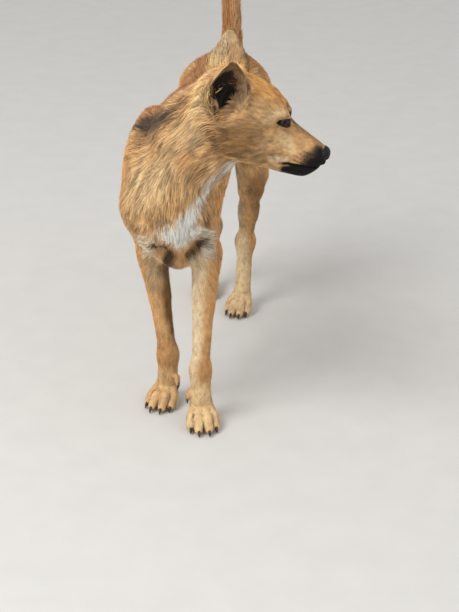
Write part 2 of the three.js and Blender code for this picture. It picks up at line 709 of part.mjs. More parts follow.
// A closed tapering tube through points, each with its radius.
function horn(line, sides = 5) {
  const points = [];
  const faces = [];
  line.forEach(({ at, r }, i) => {
    const before = line[Math.max(i - 1, 0)].at;
    const after = line[Math.min(i + 1, line.length - 1)].at;
    const ahead = unit(sub(after, before));
    const across = unit(cross(ahead, [0, 0, 1]));
    const over = cross(across, ahead);
    for (let k = 0; k < sides; k += 1) {
      const turn = (2 * Math.PI * k) / sides;
      points.push(add(at, add(scale(across, r * Math.cos(turn)), scale(over, r * Math.sin(turn)))));
    }
  });
  const last = (line.length - 1) * sides;
  for (let k = 0; k < sides; k += 1) {
    const next = (k + 1) % sides;
    for (let ring = 0; ring < last; ring += sides) {
      faces.push([ring + k, ring + sides + k, ring + next]);
      faces.push([ring + next, ring + sides + k, ring + sides + next]);
    }
    if (k > 1) {
      faces.push([0, k - 1, k]);
      faces.push([last, last + k, last + k - 1]);
    }
  }
  return toManifold(geometryOf(points, faces));
}

// An ear: a leaf-shaped cup, open to the side, closed round its back and along its rim.
const EAR_LENGTH_STEPS = 7;
const EAR_ROUND_STEPS = 7;
const EAR_SHAPE = [
  { at: 0, half: 15, deep: 17 },
  { at: 0.15, half: 23, deep: 20 },
  { at: 0.35, half: 30, deep: 19 },
  { at: 0.52, half: 30, deep: 16 },
  { at: 0.68, half: 25, deep: 13 },
  { at: 0.82, half: 17.5, deep: 9.5 },
  { at: 0.93, half: 10.5, deep: 6.5 },
  { at: 1, half: 5, deep: 3.6 },
];

function ear(side) {
  const foot = head.out(-93, side * 46, -24);
  const tip = side > 0 ? head.out(-124, 69, 62) : head.out(-113, -69, 60);
  const up = unit(sub(tip, foot));
  const facing = head.vector(side > 0 ? 0.5 : 0.22, side * 0.9, 0.2);
  const open = unit(sub(facing, scale(up, dot(facing, up))));
  const fore = cross(up, open);
  const points = [];
  const faces = [];
  const row = 2 * (EAR_ROUND_STEPS + 1);
  for (let i = 0; i <= EAR_LENGTH_STEPS; i += 1) {
    const t = i / EAR_LENGTH_STEPS;
    const shape = stationAt(EAR_SHAPE, t);
    const middle = along(foot, tip, t);
    for (const grow of [1, -1]) {
      for (let j = 0; j <= EAR_ROUND_STEPS; j += 1) {
        const turn = Math.PI * (j / EAR_ROUND_STEPS - 0.5) * (1.16 - 0.16 * t);
        const half = shape.half + (grow * EAR_THICKNESS) / 2;
        const deep = shape.deep + (grow * EAR_THICKNESS) / 2;
        const out = add(scale(fore, half * Math.sin(turn)), scale(open, -deep * Math.cos(turn)));
        points.push(add(middle, out));
      }
    }
  }
  // The border of each cross-section runs along the outer sheet and back along the inner one.
  const turned = row + EAR_ROUND_STEPS;
  const ring = Array.from({ length: row }, (_, j) => (j <= EAR_ROUND_STEPS ? j : turned - j));
  const quad = (a, b, c, d) => faces.push([a, b, c], [a, c, d]);
  for (let i = 0; i < EAR_LENGTH_STEPS; i += 1) {
    ring.forEach((a, j) => {
      const b = ring[(j + 1) % row];
      quad(i * row + a, i * row + b, (i + 1) * row + b, (i + 1) * row + a);
    });
  }
  const top = EAR_LENGTH_STEPS * row;
  for (let j = 0; j < EAR_ROUND_STEPS; j += 1) {
    const [a, b, c, d] = [j, j + 1, ring[row - 2 - j], ring[row - 1 - j]];
    quad(d, c, b, a);
    quad(top + a, top + b, top + c, top + d);
  }
  const solid = toManifold(geometryOf(points, faces));
  if (solid.volume() > 0) return solid;
  return toManifold(geometryOf(points, faces.map((f) => [...f].reverse())));
}

function largest(solid) {
  const pieces = solid.decompose();
  pieces.sort((a, b) => b.volume() - a.volume());
  return pieces[0];
}

// A prism through the whole head, drawn in the plane of its forward and up directions.
function headPrism(outline, back = 0, up = 0) {
  const shape = new THREE.Shape(outline.map(([f, u]) => new THREE.Vector2(f - back, u + up)));
  const geometry = new THREE.ExtrudeGeometry(shape, { depth: 160, bevelEnabled: false });
  geometry.translate(0, 0, -80);
  const [forward, left, rise] = [head.vector(1, 0, 0), head.vector(0, 1, 0), head.vector(0, 0, 1)];
  const turn = new THREE.Matrix4().makeBasis(
    new THREE.Vector3(...forward),
    new THREE.Vector3(...rise),
    new THREE.Vector3(...scale(left, -1)),
  );
  turn.setPosition(...HEAD.at);
  geometry.applyMatrix4(turn);
  geometry.deleteAttribute("normal");
  geometry.deleteAttribute("uv");
  return toManifold(mergeVertices(geometry, 1e-4));
}

const wholeHead = parts.head;
const noseSolid = solidOf(noseForm, ...boxRound(head.out(70, 0, -32), 22), 4.4);
keep("nose", noseSolid);

for (const [name, side] of [["left", 1], ["right", -1]]) {
  const ball = new THREE.SphereGeometry(EYE_RADIUS, 11, 8);
  ball.translate(...head.out(-6.5, side * 20.5, -6));
  ball.deleteAttribute("normal");
  ball.deleteAttribute("uv");
  keep(`eye_${name}`, toManifold(mergeVertices(ball, 1e-4)));
  keep(`ear_${name}`, largest(ear(side).subtract(grown(wholeHead)).subtract(grown(parts.neck))));
}

const MOUTH = [[95, -52], [66, -55], [40, -61], [10, -67], [-10, -78], [-24, -120], [95, -120]];
const sockets = [noseSolid, parts.eye_left, parts.eye_right].map((s) => grown(s));
const hollowed = sockets.reduce((solid, socketSolid) => solid.subtract(socketSolid), wholeHead);
keep("lower_jaw", largest(hollowed.intersect(headPrism(MOUTH))));
keep("head", largest(hollowed.subtract(headPrism(MOUTH, 0.3, 0.3))));

for (const [name, leg] of Object.entries(LEGS)) {
  const paw = grown(parts[`paw_${name}`]);
  TOES.forEach((toe, i) => {
    keep(`claw_${name}_${i + 1}`, largest(horn(clawLine(leg, toe)).subtract(paw)));
  });
  if (!leg.wrist) continue;
  const { root, tip, point } = dewclawAxis(leg);
  const claw = horn([{ at: root, r: 3 }, { at: tip, r: 3 }, { at: point, r: 0.8 }]);
  keep(`dewclaw_${name}`, largest(claw.subtract(grown(parts[`pastern_${name}`]))));
}

// ---------------------------------------------------------------- the group

const COAT = 0xc08a52;
const DARK = 0x17130f;
const colourOf = (name) => (/claw|nose|eye/.test(name) ? DARK : COAT);

const group = new THREE.Group();
const solids = Object.entries(parts).map(([name, solid]) => [name, fromManifold(solid)]);
const whole = new THREE.Box3();
for (const [, geometry] of solids) {
  geometry.computeBoundingBox();
  whole.union(geometry.boundingBox);
}
const centre = whole.getCenter(new THREE.Vector3());
for (const [name, geometry] of solids) {
  geometry.translate(-centre.x, -centre.y, -whole.min.z);
  const shine = /eye|nose/.test(name) ? 0.25 : 0.9;
  const look = { color: colourOf(name), roughness: shine, metalness: 0 };
  const material = new THREE.MeshStandardMaterial(look);
  const mesh = new THREE.Mesh(geometry, material);
  mesh.name = name;
  group.add(mesh);
}

export default group;
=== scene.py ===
# The looks of a life-size standing village dog: one skin with its coat of tufts, eyes, nose and claws.
# Shapes are worked out in millimetres in the dog's own frame (it faces -Y, its left is +X), as
# distances to blended forms, then meshed and moved into the frame's metres.
import math

import bmesh
import bpy
import numpy as np
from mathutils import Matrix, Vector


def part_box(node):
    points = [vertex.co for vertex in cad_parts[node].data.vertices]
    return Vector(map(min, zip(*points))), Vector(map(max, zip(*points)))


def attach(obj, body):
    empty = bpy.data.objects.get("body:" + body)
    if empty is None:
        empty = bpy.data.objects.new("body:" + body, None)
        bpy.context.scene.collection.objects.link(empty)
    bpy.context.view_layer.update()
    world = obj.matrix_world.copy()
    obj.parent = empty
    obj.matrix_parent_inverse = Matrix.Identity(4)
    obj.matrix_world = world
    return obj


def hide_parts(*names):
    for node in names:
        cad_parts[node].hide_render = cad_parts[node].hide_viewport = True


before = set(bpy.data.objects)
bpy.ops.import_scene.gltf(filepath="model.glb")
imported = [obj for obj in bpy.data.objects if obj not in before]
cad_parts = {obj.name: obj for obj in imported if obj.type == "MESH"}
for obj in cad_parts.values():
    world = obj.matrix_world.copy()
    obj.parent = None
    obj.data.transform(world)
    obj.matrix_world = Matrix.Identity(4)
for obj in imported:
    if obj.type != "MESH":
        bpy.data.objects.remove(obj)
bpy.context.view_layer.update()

import openvdb
from mathutils import Matrix, Vector

SEED = 20
F32 = np.float32

# ---------------------------------------------------------------- vectors and frames


def unit(v):
    v = np.asarray(v, float)
    return v / np.maximum(np.linalg.norm(v, axis=-1, keepdims=True), 1e-9)


def mix(a, b, t):
    return a + (b - a) * t


def smooth(low, high, v):
    t = np.clip((v - low) / (high - low), 0, 1)
    return t * t * (3 - 2 * t)


def turn_about(axis, degrees):
    return np.array(Matrix.Rotation(math.radians(degrees), 3, axis))


def along_axes(axes, x, y, z):
    """How far a place lies along each of three axes."""
    return [x * a[0] + y * a[1] + z * a[2] for a in axes]


class Frame:
    """A place turned by yaw about Z, then pitched nose down, then rolled left side up."""

    def __init__(self, at, yaw, pitch=0.0, roll=0.0):
        turn = turn_about("Z", yaw) @ turn_about("X", pitch) @ turn_about("Y", -roll)
        self.at = np.array(at, float)
        self.axes = np.array([turn @ (0, -1, 0), turn @ (1, 0, 0), turn @ (0, 0, 1)])

    def vector(self, f, l, u):
        return np.array([f, l, u], float) @ self.axes

    def out(self, f, l, u):
        return self.at + self.vector(f, l, u)

    def inward(self, x, y, z):
        x, y, z = x - self.at[0], y - self.at[1], z - self.at[2]
        return along_axes(self.axes.astype(x.dtype), x, y, z)

    def inward_points(self, p):
        return (p - self.at) @ self.axes.T


# ---------------------------------------------------------------- the dog's sizes, as in the solids

LEAN = -15
LEGS = {
    "front_left": dict(side=1, paw=(46, -239), turn=16, wrist=(40, -224, 92), elbow=(38, -170, 276)),
    "front_right": dict(side=-1, paw=(-29, -177), turn=-10, wrist=(-23, -180, 92), elbow=(-50, -166, 276)),
    "hind_left": dict(side=1, paw=(34, 208), turn=-5, hock=(35, 250, 125), stifle=(58, 172, 290)),
    "hind_right": dict(side=-1, paw=(-40, 271), turn=-6, hock=(-40, 314, 125), stifle=(-60, 200, 284)),
}
HEAD = Frame((178, -255, 543), 97.6, 22, 2.5)
EYE_AT = (-6.5, 20.5, -6)
EYE_RADIUS = 10.5

# Sections: place along the line, top, bottom, half width, height of the widest place, middle, keel.
TRUNK = [
    (-272, 396, 360, 14, 378, LEAN, 2),
    (-262, 424, 336, 36, 380, LEAN, 2),
    (-235, 462, 286, 58, 392, LEAN, 1.9),
    (-190, 488, 261, 69, 404, LEAN, 1.7),
    (-130, 500, 257, 73, 408, LEAN, 1.45),
    (-50, 493, 269, 74, 416, LEAN, 1.35),
    (40, 487, 294, 73, 424, LEAN * 0.8, 1.4),
    (115, 489, 328, 66, 428, LEAN * 0.4, 1.6),
    (185, 498, 352, 72, 438, 0, 2),
    (235, 497, 376, 67, 444, 0, 2),
    (270, 482, 402, 46, 443, 0, 2),
    (290, 456, 426, 13, 441, 0, 2),
]
SKULL = [
    (-116, -8, -40, 16, -24, 0, 2),
    (-104, 8, -62, 36, -24, 0, 2),
    (-80, 23, -82, 47, -22, 0, 2),
    (-55, 30, -91, 51, -20, 0, 2.4),
    (-32, 28, -92, 46, -23, 0, 3),
    (-14, 16, -91, 35, -29, 0, 3.1),
    (0, -1, -89, 28, -39, 0, 3),
    (13, -12, -87, 25, -45, 0, 2.8),
    (35, -18, -84, 22.5, -49, 0, 2.6),
    (54, -22, -79, 20.5, -49, 0, 2.4),
    (67, -26, -66, 16.5, -45, 0, 2.1),
    (74, -31, -50, 9, -41, 0, 2),
]

# ---------------------------------------------------------------- distances to forms

FAR = 1e3
BAND = 9.0  # distances are exact this close to a form


class Form:
    """A distance function with the box that holds its inside."""

    def __init__(self, distance, low, high):
        self.distance = distance
        self.low = np.asarray(low, float)
        self.high = np.asarray(high, float)


def is_grid(x):
    return x.ndim == 3 and x.size == x.shape[0]


def near(form, axes, margin):
    """The samples close to a form: slices of an open grid, or a mask of loose points."""
    bounds = list(zip(axes, form.low - margin, form.high + margin))
    if is_grid(axes[0]):
        cut = tuple(slice(*np.searchsorted(axis.ravel(), (low, high))) for axis, low, high in bounds)
        if any(part.start >= part.stop for part in cut):
            return None
        return cut, np.ix_(*[axis.ravel()[part] for axis, part in zip(axes, cut)])
    inside = np.ones(axes[0].shape, bool)
    for axis, low, high in bounds:
        inside &= (axis > low) & (axis < high)
    return (inside, [axis[inside] for axis in axes]) if inside.any() else None


def blend(a, b, k):
    h = np.maximum(k - np.abs(a - b), 0) / k
    return np.minimum(a, b) - h * h * (k * 0.25)


def join(d, k, form, axes, sign=1):
    """Blends a form into distances where it is near or, with sign -1, takes it away from them."""
    found = near(form, axes, k + BAND)
    if found:
        cut, held = found
        d[cut] = sign * blend(sign * d[cut], form.distance(*held), k)


def union(k, *forms):
    def distance(*axes):
        d = np.full(np.broadcast_shapes(*[axis.shape for axis in axes]), FAR, F32)
        for form in forms:
            join(d, k, form, axes)
        return d

    low = np.min([form.low for form in forms], axis=0) - k / 4
    high = np.max([form.high for form in forms], axis=0) + k / 4
    return Form(distance, low, high)


def carve(k, form, hollow):
    def distance(*axes):
        d = form.distance(*axes)
        join(d, k, hollow, axes, -1)
        return d

    return Form(distance, form.low, form.high)


def bone(a, b, ra, rb):
    """A rounded cone between two places, with a radius at each."""
    a, b = np.array(a, float), np.array(b, float)
    (ax, ay, az), (dx, dy, dz) = a.astype(F32), (b - a).astype(F32)
    length2 = F32(max((b - a) @ (b - a), 1e-6))

    def distance(x, y, z):
        px, py, pz = x - ax, y - ay, z - az
        t = np.clip((px * dx + py * dy + pz * dz) / length2, 0, 1)
        away = (px - dx * t) ** 2 + (py - dy * t) ** 2 + (pz - dz * t) ** 2
        return np.sqrt(away) - (F32(ra) + F32(rb - ra) * t)

    return Form(distance, np.minimum(a - ra, b - rb), np.maximum(a + ra, b + rb))


def chain(k, joints):
    """Bones through places with radii, blended where they meet."""
    pairs = zip(joints[:-1], joints[1:])
    return union(k, *[bone(a[:3], b[:3], a[3], b[3]) for a, b in pairs])


def muscle(centre, sizes, axes=np.eye(3)):
    """An ellipsoid with half sizes along its axes."""
    centre, sizes = np.array(centre, float), np.array(sizes, float)
    spokes = (np.array(axes, float) / sizes[:, None]).astype(F32)
    (cx, cy, cz), (sx, sy, sz) = centre.astype(F32), sizes.astype(F32)

    def distance(x, y, z):
        a, b, c = along_axes(spokes, x - cx, y - cy, z - cz)
        k = np.sqrt(a * a + b * b + c * c)
        slope = np.sqrt((a / sx) ** 2 + (b / sy) ** 2 + (c / sz) ** 2)
        return np.where(slope > 1e-6, k * (k - 1) / np.maximum(slope, 1e-6), -F32(sizes.min()))

    reach = np.sqrt(((np.array(axes) * sizes[:, None]) ** 2).sum(0))
    return Form(distance, centre - reach, centre + reach)


def belly(a, b, thick, wide):
    """A muscle from one place to another, with half sizes across its depth and width."""
    a, b = np.array(a, float), np.array(b, float)
    long = unit(b - a)
    deep = unit(np.cross(long, (1, 0, 0)))
    reach = np.linalg.norm(b - a) / 2
    return muscle((a + b) / 2, (reach, wide, thick), (long, deep, np.cross(long, deep)))


STEPS = 400  # steps in a table of sections


def hermite(a, b, slope_a, slope_b, k):
    """Smooth values from a (k = 0) to b (k = 1) with a slope at each end."""
    ends = a + (b - a) * k * k * (3 - 2 * k)
    return ends + slope_a * k * (1 - k) ** 2 - slope_b * k * k * (1 - k)


def station_table(stations):
    """Smooth interpolation of every size along a list of sections."""
    s = np.array(stations, float)
    at = s[:, 0]
    t = np.linspace(at[0], at[-1], STEPS + 1)
    i = np.clip(np.searchsorted(at, t, side="left") - 1, 0, len(at) - 2)
    i0, i3 = np.maximum(i - 1, 0), np.minimum(i + 2, len(at) - 1)
    span = (at[i + 1] - at[i])[:, None]
    slope_a = (s[i + 1] - s[i0]) / (at[i + 1] - at[i0])[:, None] * span
    slope_b = (s[i3] - s[i]) / (at[i3] - at[i])[:, None] * span
    return hermite(s[i], s[i + 1], slope_a, slope_b, (t - at[i])[:, None] / span).astype(F32)


ROUND_ABOVE = F32(2.1)  # the power of a section's outline above its widest place; keel is that below
CORE = 0.05  # closer to a section's middle than this share of its size, depth no longer grows


def loft(stations, order, low, high):
    """Order says which of x, y and z runs along the loft, across it and up its section."""
    table = station_table(stations)
    first, last = stations[0][0], stations[-1][0]

    def distance(*axes):
        t, x, z = [axes[k] for k in order]
        i = np.rint(STEPS * (np.clip(t, first, last) - first) / (last - first)).astype(int)
        _, top, bottom, half, widest, middle, keel = [table[..., n][i] for n in range(7)]
        rise, off = z - widest, x - middle
        above = rise > 0
        height = np.where(above, top - widest, widest - bottom)
        power = np.where(above, ROUND_ABOVE, keel)
        k = ((np.abs(off) / half) ** power + (np.abs(rise) / height) ** power) ** (1 / power)
        away = np.sqrt(off * off + rise * rise)
        radial = np.where(k > CORE, away * (1 - 1 / np.maximum(k, CORE)), -np.minimum(half, height))
        beyond = np.maximum(np.maximum(first - t, t - last), 0)
        past_end = np.sqrt(np.maximum(radial, 0) ** 2 + beyond**2)
        return np.where(beyond > 0, past_end, radial).astype(F32)

    return Form(distance, low, high)


def curve(line, count):
    """Places with radii along a smooth curve through the given ones."""
    line = np.array(line, float)
    t = np.linspace(0, len(line) - 1, count)
    i = np.clip(t.astype(int), 0, len(line) - 2)
    a, b = line[i], line[i + 1]
    before, after = line[np.maximum(i - 1, 0)], line[np.minimum(i + 2, len(line) - 1)]
    return hermite(a, b, (b - before) / 2, (after - a) / 2, (t - i)[:, None])


def in_frame(place, form):
    """A form drawn in a turned frame, put into the dog's."""
    ends = (form.low, form.high)
    corners = [place.out(ends[a][0], ends[b][1], ends[c][2]) for a in (0, 1) for b in (0, 1) for c in (0, 1)]

    def distance(x, y, z):
        return form.distance(*place.inward(x, y, z))

    return Form(distance, np.min(corners, axis=0), np.max(corners, axis=0))


def both_sides(build):
    """What a function builds for the left side (1) and the right side (-1), barely blended."""
    return union(0.01, build(1), build(-1))


# ---------------------------------------------------------------- the head

skull = union(
    9,
    loft(SKULL, (0, 1, 2), (-116, -52, -93), (75, 52, 31)),
    both_sides(lambda s: muscle((-58, s * 33, -48), (34, 20, 34))),
    both_sides(lambda s: bone((-10, s * 29, -25), (-62, s * 43, -20), 8, 9)),
    both_sides(lambda s: muscle((-20, s * 21, 6.5), (15, 12, 7.5))),
    both_sides(lambda s: muscle((53, s * 9, -45), (19, 12, 14))),
    both_sides(lambda s: muscle((64, s * 5, -46), (12.5, 8, 9))),
    bone((46, 0, -68), (62, 0, -60), 9, 7.5),
    both_sides(lambda s: muscle((-93, s * 36, 0), (22, 14, 22))),
    bone((2, 0, -15), (66, 0, -33), 10, 8),
    bone((10, 0, -74), (53, 0, -70), 13, 8.5),
)
skull = carve(8, skull, both_sides(lambda s: muscle((-1, s * 35, -8), (13, 7, 9))))
skull = carve(10, skull, bone((-40, 0, 36), (2, 0, 8), 7, 6))

LOOK = (0.58, 0.80, 0.12)  # where the left eye's lids face
LID_TILT = (-0.22, 0, 1)  # up, for the lids
LID_HALF_LENGTH = 12.2
LID_THICKNESS = 2.0


def eye_axes(side):
    """The axes of an eye's lids: towards the inner corner, up across the lids, and outward."""
    outward = unit((LOOK[0], side * LOOK[1], LOOK[2]))
    inner = unit(np.cross(outward, LID_TILT)) * side
    return np.array([inner, np.cross(inner, outward) * side, outward])


def eye_local(side, f, l, u):
    """Coordinates about an eye, along the axes of its lids."""
    return along_axes(eye_axes(side), f - EYE_AT[0], l - side * EYE_AT[1], u - EYE_AT[2])


def lid_arc(height):
    """Radius of the arc of a lid that rises to a height, and how far its centre lies past the line."""
    radius = (LID_HALF_LENGTH**2 + height**2) / (2 * height)
    return radius, radius - height


UPPER_LID, LOWER_LID = lid_arc(5.7), lid_arc(3.2)


def lid_opening(a, b):
    """Distance in the plane of the lids to the almond between them."""
    upper = np.sqrt(a * a + (b + UPPER_LID[1]) ** 2) - UPPER_LID[0]
    lower = np.sqrt(a * a + (b - LOWER_LID[1]) ** 2) - LOWER_LID[0]
    return np.maximum(upper, lower)


SLOT_START = 2  # how far out from the eye's middle the opening starts
SLOT_REACH = 18


def lid_slot(side):
    centre = np.array([EYE_AT[0], side * EYE_AT[1], EYE_AT[2]])

    def distance(f, l, u):
        a, b, c = eye_local(side, f, l, u)
        return np.maximum(lid_opening(a, b), SLOT_START - c)

    return Form(distance, centre - SLOT_REACH, centre + SLOT_REACH)


def lid(side):
    return muscle((EYE_AT[0], side * EYE_AT[1], EYE_AT[2]), (EYE_RADIUS + LID_THICKNESS,) * 3)


skull = union(4, skull, both_sides(lid))
for side in (1, -1):
    skull = carve(1.2, skull, lid_slot(side))

# The closed mouth is a fold that runs back from below the nose to the corner of the lips.
MOUTH = [(76, -50), (66, -55), (53, -58), (40, -61), (25, -64), (12, -69)]
MOUTH_DEPTH = 3.0


def mouth_away(f, u):
    """Distance to the line between the lips, seen from the side."""
    away = np.full(np.broadcast_shapes(f.shape, u.shape), FAR, F32)
    for (fa, ua), (fb, ub) in zip(MOUTH[:-1], MOUTH[1:]):
        df, du = fb - fa, ub - ua
        t = np.clip(((f - fa) * df + (u - ua) * du) / (df * df + du * du), 0, 1)
        away = np.minimum(away, np.hypot(f - fa - df * t, u - ua - du * t))
    return away


def with_mouth(form):
    def distance(f, l, u):
        d = form.distance(f, l, u)
        width = smooth(6, 24, f) + 0.1
        groove = np.maximum(mouth_away(f, u) - width, -(d + MOUTH_DEPTH))
        return np.maximum(d, -groove)

    return Form(distance, form.low, form.high)


head_form = in_frame(HEAD, with_mouth(skull))

# ---------------------------------------------------------------- the ears

# Sections of an ear: share of its length, half width and depth.
EAR_SHAPE = [
    (0, 15, 17),
    (0.15, 23, 20),
    (0.35, 30, 19),
    (0.52, 30, 16),
    (0.68, 25, 13),
    (0.82, 17.5, 9.5),
    (0.93, 10.5, 6.5),
    (1, 5, 3.6),
]
EAR_TABLE = station_table(EAR_SHAPE)
EAR_THICKNESS = (2.5, 1.35)  # half thickness at the foot and towards the tip
EAR_REACH = 36  # how far from the line from foot to tip an ear lies
EAR_BLEND = 5
EAR_CORE = 0.08


class Ear:
    """A leaf-shaped cup from its foot to its tip, open to the side."""

    def __init__(self, side):
        self.side = side
        self.foot = HEAD.out(-93, side * 46, -24)
        self.tip = HEAD.out(-124, 69, 62) if side > 0 else HEAD.out(-113, -69, 60)
        self.up = unit(self.tip - self.foot)
        facing = HEAD.vector(0.5 if side > 0 else 0.22, side * 0.9, 0.2)
        self.open = unit(facing - self.up * (facing @ self.up))
        self.fore = np.cross(self.up, self.open)
        self.length = np.linalg.norm(self.tip - self.foot)

    def local(self, x, y, z):
        """Share of the length, how far to the fore side and out of the cup, and the section's size there."""
        foot_x, foot_y, foot_z = self.foot
        t, a, b = along_axes((self.up, self.fore, self.open), x - foot_x, y - foot_y, z - foot_z)
        t = t / self.length
        i = np.rint(STEPS * np.clip(t, 0, 1)).astype(int)
        return t, a, b, EAR_TABLE[:, 1][i], EAR_TABLE[:, 2][i]

    def sheet(self, x, y, z):
        """Height off the middle of the sheet, outward positive, how far past its rim, share, and edge."""
        t, a, b, half, deep = self.local(x, y, z)
        k = np.sqrt((a / half) ** 2 + (b / deep) ** 2)
        radial = np.sqrt(a * a + b * b) * (1 - 1 / np.maximum(k, EAR_CORE))
        angle = np.arctan2(np.abs(a) / half, -b / deep)
        limit = math.pi / 2 * (1.16 - 0.16 * np.clip(t, 0, 1))
        edge = (angle - limit) * (half + deep) / 2
        past_end = np.maximum(np.maximum(t - 1, -t), 0) * self.length
        past = np.sqrt(np.maximum(edge, 0) ** 2 + past_end**2)
        return radial, past, t, edge

    def cup(self, p):
        """The sheet's measures at points, and the turn in degrees from its spine towards the fore rim."""
        _, a, b, half, deep = self.local(*p.T)
        turn = np.degrees(np.arctan2(-self.side * a / half, -b / deep))
        return *self.sheet(*p.T), turn

    def hollow(self, p):
        """1 at points on the head inside the mouth of the cup."""
        radial, _, _, _ = self.sheet(*p.T)
        t, a, b, _, _ = self.local(*p.T)
        wide = mix(8, 22, smooth(0.1, 0.6, t))
        within = smooth(1.25, 1, np.abs(a) / wide) * smooth(0.08, 0.15, t) * smooth(0.84, 0.76, t)
        return smooth(-1.9, -3.2, radial) * smooth(14, 8, b) * within

    def form(self):
        def distance(x, y, z):
            radial, past, t, _ = self.sheet(x, y, z)
            thick = mix(*EAR_THICKNESS, smooth(0, 0.7, t))
            return (np.sqrt(radial**2 + past**2) - thick).astype(F32)

        ends = np.array([self.foot, self.tip])
        return Form(distance, ends.min(0) - EAR_REACH, ends.max(0) + EAR_REACH)


def cup_width(t):
    """How wide the dark of the cup is at a share of the ear's length, as a share of its full width."""
    return mix(0.35, 1, smooth(0, 0.5, t)) * mix(1, 0.45, smooth(0.55, 0.9, t))


EARS = [Ear(1), Ear(-1)]
EAR_FORMS = [ear.form() for ear in EARS]
EAR_HOLES = in_frame(HEAD, both_sides(lambda s: muscle((-91, s * 50, 4), (13, 13, 27))))

# ---------------------------------------------------------------- the limbs, tail and trunk

TOES = (-1.5, -0.5, 0.5, 1.5)


def toe_place(leg, toe):
    """How far a toe reaches forward and how far it lies to the left."""
    outer = abs(toe) > 1
    return (22 if outer else 34), toe * (12.8 if outer else 15.8) * (1 if "wrist" in leg else 0.9)


def paw_frame(leg):
    return Frame((*leg["paw"], 0), leg["turn"])


def paw_form(leg):
    foot = paw_frame(leg)
    forms = []
    for toe in TOES:
        reach, across = toe_place(leg, toe)
        knuckle = foot.out(reach - 15, across * 0.93, 20)
        tip = foot.out(reach + 1, across * 1.06, 9.5)
        forms.append(bone(foot.out(-11, across * 0.5, 27), knuckle, 9.6, 8.4))
        forms.append(bone(knuckle, tip, 8.4, 7.6))
        forms.append(bone(foot.out(reach - 4, across * 1.04, 5.4), tip, 6.4, 6.0))
    forms.append(bone(foot.out(-16, 0, 9), foot.out(-4, 0, 8), 12, 12.5))
    return union(2, *forms)


def dewclaw_line(leg):
    root = np.add(leg["wrist"], (-leg["side"] * 16, -4, -38))
    tip = root + (-leg["side"] * 3.5, -6, -11)
    return root, tip, tip + (leg["side"] * 1, -5, -7)


def along(a, b, t):
    return mix(np.array(a, float), np.array(b, float), t)


def foreleg(leg):
    s, paw, wrist, elbow = leg["side"], paw_frame(leg), np.array(leg["wrist"]), np.array(leg["elbow"])
    root = paw.out(-13, 0, 31)
    return union(
        12,
        bone((s * 45 + LEAN, -224, 370), elbow, 25, 24),
        belly((s * 47 + LEAN, -130, 452), elbow + (s, 4, -14), 20, 42),
        bone(elbow + (0, 18, 8), elbow + (0, 2, -34), 11, 15),
        bone(elbow, wrist, 21, 14.2),
        bone(elbow + (s * 3, -8, -10), along(elbow, wrist, 0.45), 19, 15),
        muscle(wrist, (14.4, 14.8, 23)),
        bone(wrist, root, 16.0, 17.6),
        bone(wrist + (0, 13, -12), wrist + (0, 10, -22), 7, 6),
    )


def blade(leg):
    s = leg["side"]
    return belly((s * 46 + LEAN, -108, 488), (s * 54 + LEAN, -240, 350), 20, 54)


def hind_leg(leg):
    s, paw = leg["side"], paw_frame(leg)
    hock, stifle = np.array(leg["hock"]), np.array(leg["stifle"])
    hip, seat = np.array((s * 40, 218, 430)), np.array((s * 38, 268, 428))
    root = paw.out(-15, 0, 32)
    heel = hock + (0, 19, 14)
    return union(
        14,
        bone(hip + (0, -8, 0), stifle, 44, 29),
        bone(seat, along(stifle, hock, 0.22), 31, 22),
        belly((s * 36, 160, 430), stifle + (0, -16, -8), 24, 36),
        bone(stifle, along(stifle, hock, 0.6), 23, 16),
        bone(along(stifle, hock, 0.5), hock, 17, 14),
        bone(along(seat, stifle, 0.75), heel, 14, 7.5),
        bone(heel, hock, 8.5, 14.5),
        muscle(hock, (14.5, 15, 18)),
        bone(hock, root, 14.5, 15.5),
    )


limbs = {name: foreleg(leg) if "wrist" in leg else hind_leg(leg) for name, leg in LEGS.items()}
TAIL = [
    (0, 258, 462, 25),
    (-3, 290, 506, 19.5),
    (-6, 300, 560, 17),
    (-7, 302, 620, 16.8),
    (-6, 299, 664, 16),
    (-5, 291, 702, 14),
    (-4, 282, 722, 10.5),
    (-2, 275, 734, 6),
]
TAIL_EXTRA = 1.6  # how much thicker the tail is than its line says
neck = chain(30, [(-7, -140, 424, 79), (31, -212, 486, 63), (*HEAD.out(-94, 0, -18), 50)])
trunk_and_neck = union(
    26,
    loft(TRUNK, (1, 0, 2), (-84, -272, 256), (72, 290, 501)),
    neck,
    bone((6, -232, 402), HEAD.out(-72, 0, -46), 46, 38),
    muscle((5, -198, 286), (20, 38, 25)),
    blade(LEGS["front_left"]),
    blade(LEGS["front_right"]),
    chain(2, curve(TAIL, 22) + (0, 0, 0, TAIL_EXTRA)),
)
torso = union(24, trunk_and_neck, head_form)
legs_and_paws = [union(7, limbs[name], paw_form(leg)) for name, leg in LEGS.items()]
dew_toes = [bone(*dewclaw_line(leg)[:2], 6.2, 4.6) for leg in LEGS.values() if "wrist" in leg]
# A crease where the neck turns past the shoulder, and the hollows inside the elbows.
CREASE = [
    (80, -302, 486, 3),
    (52, -297, 456, 4),
    (32, -291, 430, 4.5),
    (8, -287, 402, 4.5),
    (-6, -280, 372, 3),
]
ARMPITS = [((-20, -236, 294), (10, 14, 17)), ((20, -213, 290), (10, 14, 17))]
solid_dog = union(5, union(20, torso, *legs_and_paws), *dew_toes)
solid_dog = carve(12, solid_dog, chain(2, CREASE))
for at, half in ARMPITS:
    solid_dog = carve(14, solid_dog, muscle(at, half))

# ---------------------------------------------------------------- the skin under the coat

